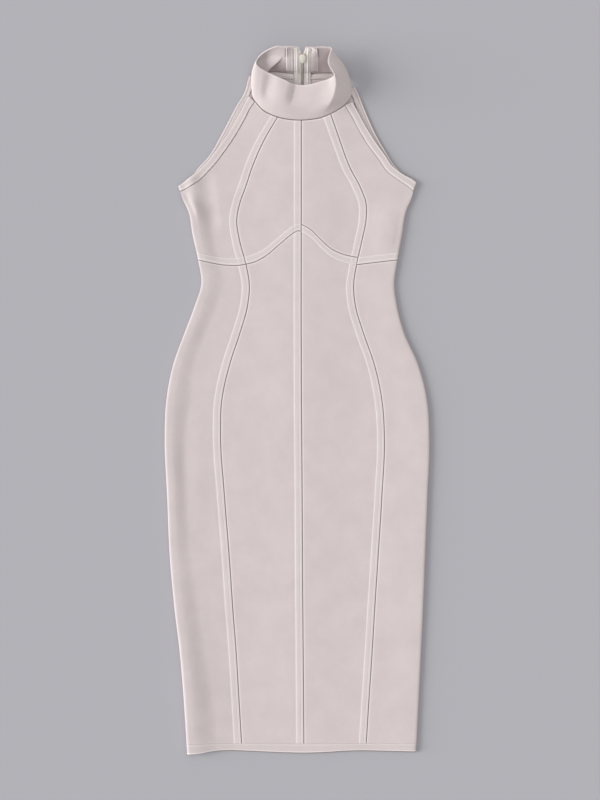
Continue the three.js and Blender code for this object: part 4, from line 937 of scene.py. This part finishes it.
def tooth_run(start, stop, side):
    run = stop - start
    count = max(1, round(float(np.linalg.norm(run)) / TOOTH_PITCH))
    step = run / count
    bpy.ops.object.select_all(action="DESELECT")
    bpy.ops.mesh.primitive_cube_add(size=MM)
    bar = bpy.context.object
    bpy.ops.object.mode_set(mode="EDIT")
    bpy.ops.transform.resize(value=TOOTH)
    bpy.ops.mesh.bevel(offset=TOOTH_BEVEL * MM, segments=1, affect="EDGES")
    bpy.ops.transform.rotate(value=-math.atan2(run[2], run[1]), orient_axis="X", center_override=(0, 0, 0))
    place = start + step * (0.25 if side < 0 else 0.75) + np.array([side * TOOTH_ASIDE, 0, 0])
    bpy.ops.transform.translate(value=tuple(place * MM))
    bpy.ops.object.mode_set(mode="OBJECT")
    turns = bar.modifiers.new("turns", "ARRAY")
    turns.count = count
    turns.use_relative_offset = False
    turns.use_constant_offset = True
    turns.constant_offset_displace = step * MM
    bpy.ops.object.modifier_apply(modifier="turns")
    return bar


runs = [tooth_run(a, b, side) for a, b in zip(CHAIN_PATH, CHAIN_PATH[1:]) for side in (-1, 1)]
bpy.ops.object.select_all(action="DESELECT")
for bar in runs:
    bar.select_set(True)
bpy.context.view_layer.objects.active = runs[0]
bpy.ops.object.join()
teeth = bpy.context.object
teeth.name = teeth.data.name = "zip_teeth"
bpy.ops.object.transform_apply(location=True, rotation=True, scale=True)
bpy.ops.object.shade_smooth_by_angle(angle=math.radians(50))
lay(teeth, "zip_chain", "zip_coil")
print("zip teeth:", len(teeth.data.polygons), "faces")

# %% [markdown]
# ## The slider and its tab
# Both are die-cast, so every edge is slightly round. The solids already have the right form: a copy of each is
# merged, its flat faces are made whole again, and a small bevel rounds the edges.


# %% Slider and pull tab
def cast_copy(node, name, round_edge, body):
    piece = add_object(name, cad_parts[node].data.copy())
    piece.data.name = name
    bpy.ops.object.select_all(action="DESELECT")
    piece.select_set(True)
    bpy.context.view_layer.objects.active = piece
    bpy.ops.object.mode_set(mode="EDIT")
    bpy.ops.mesh.select_all(action="SELECT")
    bpy.ops.mesh.remove_doubles(threshold=0.01 * MM)
    bpy.ops.mesh.dissolve_limited(angle_limit=math.radians(1))
    bpy.ops.object.mode_set(mode="OBJECT")
    edge = piece.modifiers.new("round edge", "BEVEL")
    edge.width = round_edge * MM
    edge.segments = 2
    edge.angle_limit = math.radians(35)
    bpy.ops.object.modifier_apply(modifier="round edge")
    bpy.ops.object.shade_smooth_by_angle(angle=math.radians(40))
    lay(piece, node, "zip_metal", body)
    print(name, len(piece.data.polygons), "faces")
    return piece


cast_pieces = [
    cast_copy("zip_slider", "cast_slider", 0.3, "dress"),
    cast_copy("zip_pull_tab", "cast_pull_tab", 0.22, "pull_tab"),
]

# %% [markdown]
# ## Materials
# The knit is one cloth all over, so its effects are groups that any material can use: the fine stitches of
# the knit, and a row of sewing stitches beside a seam. Colour, roughness and bump all come from nodes.


# %% Node helpers
def add(tree, kind, **values):
    made = tree.nodes.new("ShaderNode" + kind)
    for name, value in values.items():
        if name in ("uv_map", "attribute_name", "node_tree"):
            setattr(made, name, value)
        else:
            put(tree, made.inputs[name.replace("_", " ")], value)
    return made


def put(tree, socket, value):
    if isinstance(value, bpy.types.NodeSocket):
        tree.links.new(value, socket)
    else:
        socket.default_value = value


def calculator(tree):
    """The function that it gives adds one Math node to the tree and returns its output."""
    def calc(operation, *values):
        made = tree.nodes.new("ShaderNodeMath")
        made.operation = operation
        for socket, value in zip(made.inputs, values):
            put(tree, socket, value)
        return made.outputs[0]
    return calc


def group(name, vector, numbers, results):
    tree = bpy.data.node_groups.new(name, "ShaderNodeTree")
    tree.interface.new_socket(name=vector, in_out="INPUT", socket_type="NodeSocketVector")
    for label in numbers:
        tree.interface.new_socket(name=label, in_out="INPUT", socket_type="NodeSocketFloat")
    for label in results:
        tree.interface.new_socket(name=label, in_out="OUTPUT", socket_type="NodeSocketFloat")
    given = tree.nodes.new("NodeGroupInput").outputs
    parts = add(tree, "SeparateXYZ", Vector=given[vector]).outputs
    return tree, calculator(tree), given, parts, tree.nodes.new("NodeGroupOutput").inputs


# %% Knit stitches as a group
FUZZ_SCALE, MOTTLE_SCALE = 1100.0, 26.0

knit_tree, calc, given, parts, result = group(
    "knit stitches", "Cloth", ("Wale", "Course"), ("Height", "Fuzz", "Mottle")
)
u = calc("DIVIDE", parts[0], given["Wale"])
leg = calc("ABSOLUTE", calc("SINE", calc("MULTIPLY", u, 2 * math.pi)))
v = calc("ADD", calc("DIVIDE", parts[1], given["Course"]), calc("PINGPONG", u, 0.5))
loop = calc("SINE", calc("MULTIPLY", v, 2 * math.pi))
put(knit_tree, result["Height"], calc("MULTIPLY", leg, calc("MULTIPLY_ADD", loop, 0.35, 0.65)))
fuzz = add(knit_tree, "TexNoise", Vector=given["Cloth"], Scale=FUZZ_SCALE, Detail=2.0)
mottle = add(knit_tree, "TexNoise", Vector=given["Cloth"], Scale=MOTTLE_SCALE, Detail=5.0, Roughness=0.6)
put(knit_tree, result["Fuzz"], fuzz.outputs[0])
put(knit_tree, result["Mottle"], mottle.outputs[0])

# %% Rows of sewing stitches as a group
row_tree, calc, given, parts, result = group(
    "stitch row", "Seam", ("Offset", "Thread", "Stitch"), ("Mask", "Height")
)
off = calc("DIVIDE", calc("SUBTRACT", parts[0], given["Offset"]), given["Thread"])
thread = calc("MAXIMUM", calc("SUBTRACT", 1.0, calc("MULTIPLY", off, off)), 0.0)
beat = calc("PINGPONG", calc("DIVIDE", parts[1], given["Stitch"]), 0.5)
dash = add(row_tree, "MapRange", Value=beat, From_Min=0.06, From_Max=0.16)
mask = calc("MULTIPLY", thread, dash.outputs[0])
pull = calc("MAXIMUM", calc("SUBTRACT", 1.0, calc("ABSOLUTE", calc("MULTIPLY", off, 0.3))), 0.0)
put(row_tree, result["Mask"], mask)
put(row_tree, result["Height"], calc("SUBTRACT", mask, calc("MULTIPLY", pull, 0.6)))

# %% [markdown]
# ## The knit
# A matt viscose knit: a warm pale grey, a little lighter where the thread of a stitch lies on top. Shade is
# painted into the colour down in a seam and low between the loops, and highlights on rolled edges and pressed
# strips. The knit's own loops are about a millimetre wide, so they are bump and not geometry.


# %% Knit material
def new_material(name):
    made = bpy.data.materials.new(name)
    made.use_nodes = True
    made.node_tree.nodes.clear()
    out = made.node_tree.nodes.new("ShaderNodeOutputMaterial")
    shader = made.node_tree.nodes.new("ShaderNodeBsdfPrincipled")
    made.node_tree.links.new(shader.outputs[0], out.inputs[0])
    return made, made.node_tree, shader.inputs


def mixed(tree, factor, a, b):
    made = tree.nodes.new("ShaderNodeMix")
    made.data_type = "RGBA"
    put(tree, made.inputs[0], factor)
    put(tree, made.inputs[6], a)
    put(tree, made.inputs[7], b)
    return made.outputs[2]


KNIT_LIGHT, KNIT_DARK = (0.685, 0.607, 0.599, 1), (0.640, 0.566, 0.558, 1)
# The thread colour is the thread's own; the dark colour paints shade in seams and hollows, and the light ones paint
# highlights on edges.
THREAD, PAINTED_SHADE_COLOUR, HIGHLIGHT_COLOUR = (0.88, 0.82, 0.80, 1), (0.26, 0.20, 0.19, 1), (0.86, 0.79, 0.78, 1)
TAPE_LIGHT, TAPE_DARK, TAPE_HIGHLIGHT_COLOUR = (0.80, 0.735, 0.71, 1), (0.70, 0.63, 0.61, 1), (0.97, 0.93, 0.86, 1)
LOOP_HEIGHT, FUZZ_HEIGHT, ROW_HEIGHT = 0.055 * MM, 0.03 * MM, 0.22 * MM


def cloth_material(name, light, dark, rows, lip=HIGHLIGHT_COLOUR, wale=1.3 * MM, course=1.0 * MM):
    made, tree, shader = new_material(name)
    uv = {label: add(tree, "UVMap", uv_map=label).outputs[0] for label in ("cloth", "seam", "cross")}
    calc = calculator(tree)
    knit = add(tree, "Group", node_tree=knit_tree, Cloth=uv["cloth"], Wale=wale, Course=course).outputs
    blend = calc("ADD", calc("MULTIPLY", knit["Mottle"], 0.7), calc("MULTIPLY", knit["Fuzz"], 0.3))
    blend = add(tree, "MapRange", Value=blend, From_Min=0.38, From_Max=0.62).outputs[0]
    colour = mixed(tree, blend, dark, light)
    # The colour is a little darker low between the knit's loops and a little lighter on them: painted shade and
    # highlight.
    shade = calc("MULTIPLY_ADD", knit["Height"], 0.10, 0.93)
    height = calc("MULTIPLY_ADD", knit["Fuzz"], FUZZ_HEIGHT, calc("MULTIPLY", knit["Height"], LOOP_HEIGHT))
    mask = 0.0
    for label, offset, thread, stitch in rows:
        row = add(tree, "Group", node_tree=row_tree, Seam=uv[label], Offset=offset * MM,
                  Thread=thread * MM, Stitch=stitch * MM).outputs
        mask = calc("MAXIMUM", mask, row["Mask"])
        height = calc("MULTIPLY_ADD", row["Height"], ROW_HEIGHT, height)
    labels = ("strip", "lip", "ditch")
    strip, lipped, ditch = (add(tree, "Attribute", attribute_name=label).outputs[2] for label in labels)
    # Pressed strips are painted a little lighter, toward the highlight colour: a painted highlight.
    colour = mixed(tree, calc("MULTIPLY", strip, 0.16), colour, HIGHLIGHT_COLOUR)
    # Painted highlight on rolled edges, rims and ridges.
    colour = mixed(tree, calc("MULTIPLY", lipped, 0.6), colour, lip)
    colour = mixed(tree, mask, colour, THREAD)
    # Painted shade in seams and hollows and under overhanging edges.
    colour = mixed(tree, calc("MULTIPLY", ditch, 0.85), colour, PAINTED_SHADE_COLOUR)
    scaled = tree.nodes.new("ShaderNodeVectorMath")
    scaled.operation = "SCALE"
    put(tree, scaled.inputs[0], colour)
    put(tree, scaled.inputs[3], shade)
    put(tree, shader["Base Color"], scaled.outputs[0])
    put(tree, shader["Roughness"], calc("MULTIPLY_ADD", knit["Fuzz"], 0.12, 0.80))
    shader["Specular IOR Level"].default_value = 0.25
    shader["Sheen Weight"].default_value = 0.12
    shader["Sheen Roughness"].default_value = 0.5
    bump = add(tree, "Bump", Height=height, Distance=1.0, Strength=1.0)
    put(tree, shader["Normal"], bump.outputs[0])
    return made


SEAM_ROWS = [(label, offset, 0.7, 3.0) for label in ("seam", "cross") for offset in ROW_OFFSETS]
knit = cloth_material("knit", KNIT_LIGHT, KNIT_DARK, SEAM_ROWS)
tape_rows = [("seam", 3.0, 0.4, 2.5), ("seam", 8.2, 0.4, 2.5)]
tape_weave = cloth_material("zip_tape_weave", TAPE_LIGHT, TAPE_DARK, tape_rows, TAPE_HIGHLIGHT_COLOUR, 0.7 * MM, 0.5 * MM)
cloths = {"knit": knit, "zip_tape": tape_weave}

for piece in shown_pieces():
    if piece.get("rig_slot") in cloths:
        piece.data.materials.append(cloths[piece["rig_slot"]])


# %% Coil and metal
def plain_finish(name, light, dark, roughness, metallic, scale):
    made, tree, shader = new_material(name)
    calc = calculator(tree)
    place = tree.nodes.new("ShaderNodeTexCoord").outputs["Object"]
    grain = add(tree, "TexNoise", Vector=place, Scale=scale, Detail=3.0).outputs[0]
    put(tree, shader["Base Color"], mixed(tree, grain, dark, light))
    put(tree, shader["Roughness"], calc("MULTIPLY_ADD", grain, 0.2, roughness - 0.1))
    shader["Metallic"].default_value = metallic
    bump = add(tree, "Bump", Height=calc("MULTIPLY", grain, 0.02 * MM), Distance=1.0, Strength=1.0)
    put(tree, shader["Normal"], bump.outputs[0])
    return made


COIL_LIGHT, COIL_DARK = (0.56, 0.50, 0.47, 1), (0.40, 0.36, 0.33, 1)
ENAMEL_LIGHT, ENAMEL_DARK = (0.90, 0.86, 0.76, 1), (0.82, 0.77, 0.66, 1)
coil = plain_finish("zip_coil_finish", COIL_LIGHT, COIL_DARK, roughness=0.5, metallic=0.0, scale=1500.0)
enamel = plain_finish("zip_enamel", ENAMEL_LIGHT, ENAMEL_DARK, roughness=0.35, metallic=0.1, scale=900.0)
for piece, finish in ((teeth, coil), *((piece, enamel) for piece in cast_pieces)):
    piece.data.materials.clear()
    piece.data.materials.append(finish)

# %% [markdown]
# ## Floor, light and camera
# A plain pale floor, a large soft light low on the left, a weak one from the right and a weak even light from
# all round: the low light picks out the pressed seams. The camera looks straight down, as from a ladder.

# %% Floor
FLOOR_SIZE, FLOOR_CLEAR = 8.0, 0.0004
FLOOR_GREY = (0.44, 0.435, 0.465, 1)
bpy.ops.object.select_all(action="DESELECT")
bpy.ops.mesh.primitive_plane_add(size=FLOOR_SIZE, location=(0, 0, -FLOOR_CLEAR))
floor = bpy.context.object
floor.name = floor.data.name = "floor"
floor_paint, tree, shader = new_material("floor_paint")
shader["Base Color"].default_value = FLOOR_GREY
shader["Roughness"].default_value = 0.95
shader["Specular IOR Level"].default_value = 0.1
floor.data.materials.append(floor_paint)


# %% Lights
def soft_lamp(name, azimuth, elevation, spread, power):
    """A far soft light: azimuth and elevation say where it comes from, spread how large it looks, in degrees."""
    light = bpy.data.lights.new(name, "SUN")
    light.energy = power
    light.angle = math.radians(spread)
    add_object(name, light).rotation_euler = (math.radians(90 - elevation), 0, math.radians(azimuth + 90))


soft_lamp("window_light", azimuth=178, elevation=19, spread=36, power=3.44)
soft_lamp("room_light", azimuth=20, elevation=62, spread=60, power=0.6)
ROOM_WHITE, ROOM_POWER = (1.0, 1.0, 1.0, 1), 0.49
world = bpy.data.worlds.new("room")
world.use_nodes = True
background = world.node_tree.nodes["Background"].inputs
background[0].default_value, background[1].default_value = ROOM_WHITE, ROOM_POWER
bpy.context.scene.world = world
bpy.context.scene.view_settings.view_transform = "Standard"

# %% Camera
CAMERA_HEIGHT, VIEW_HEIGHT = 2.3, 1.24  # above the dress, and how much of the floor fills the picture's height
AIM_X, AIM_Y = 0.0045, 0.0034
eye = bpy.data.cameras.new("camera")
eye.sensor_fit = "VERTICAL"
eye.sensor_height = 24
eye.lens = eye.sensor_height * CAMERA_HEIGHT / VIEW_HEIGHT
camera = add_object("camera", eye)
camera.location = (AIM_X, AIM_Y, CAMERA_HEIGHT)
bpy.context.scene.camera = camera
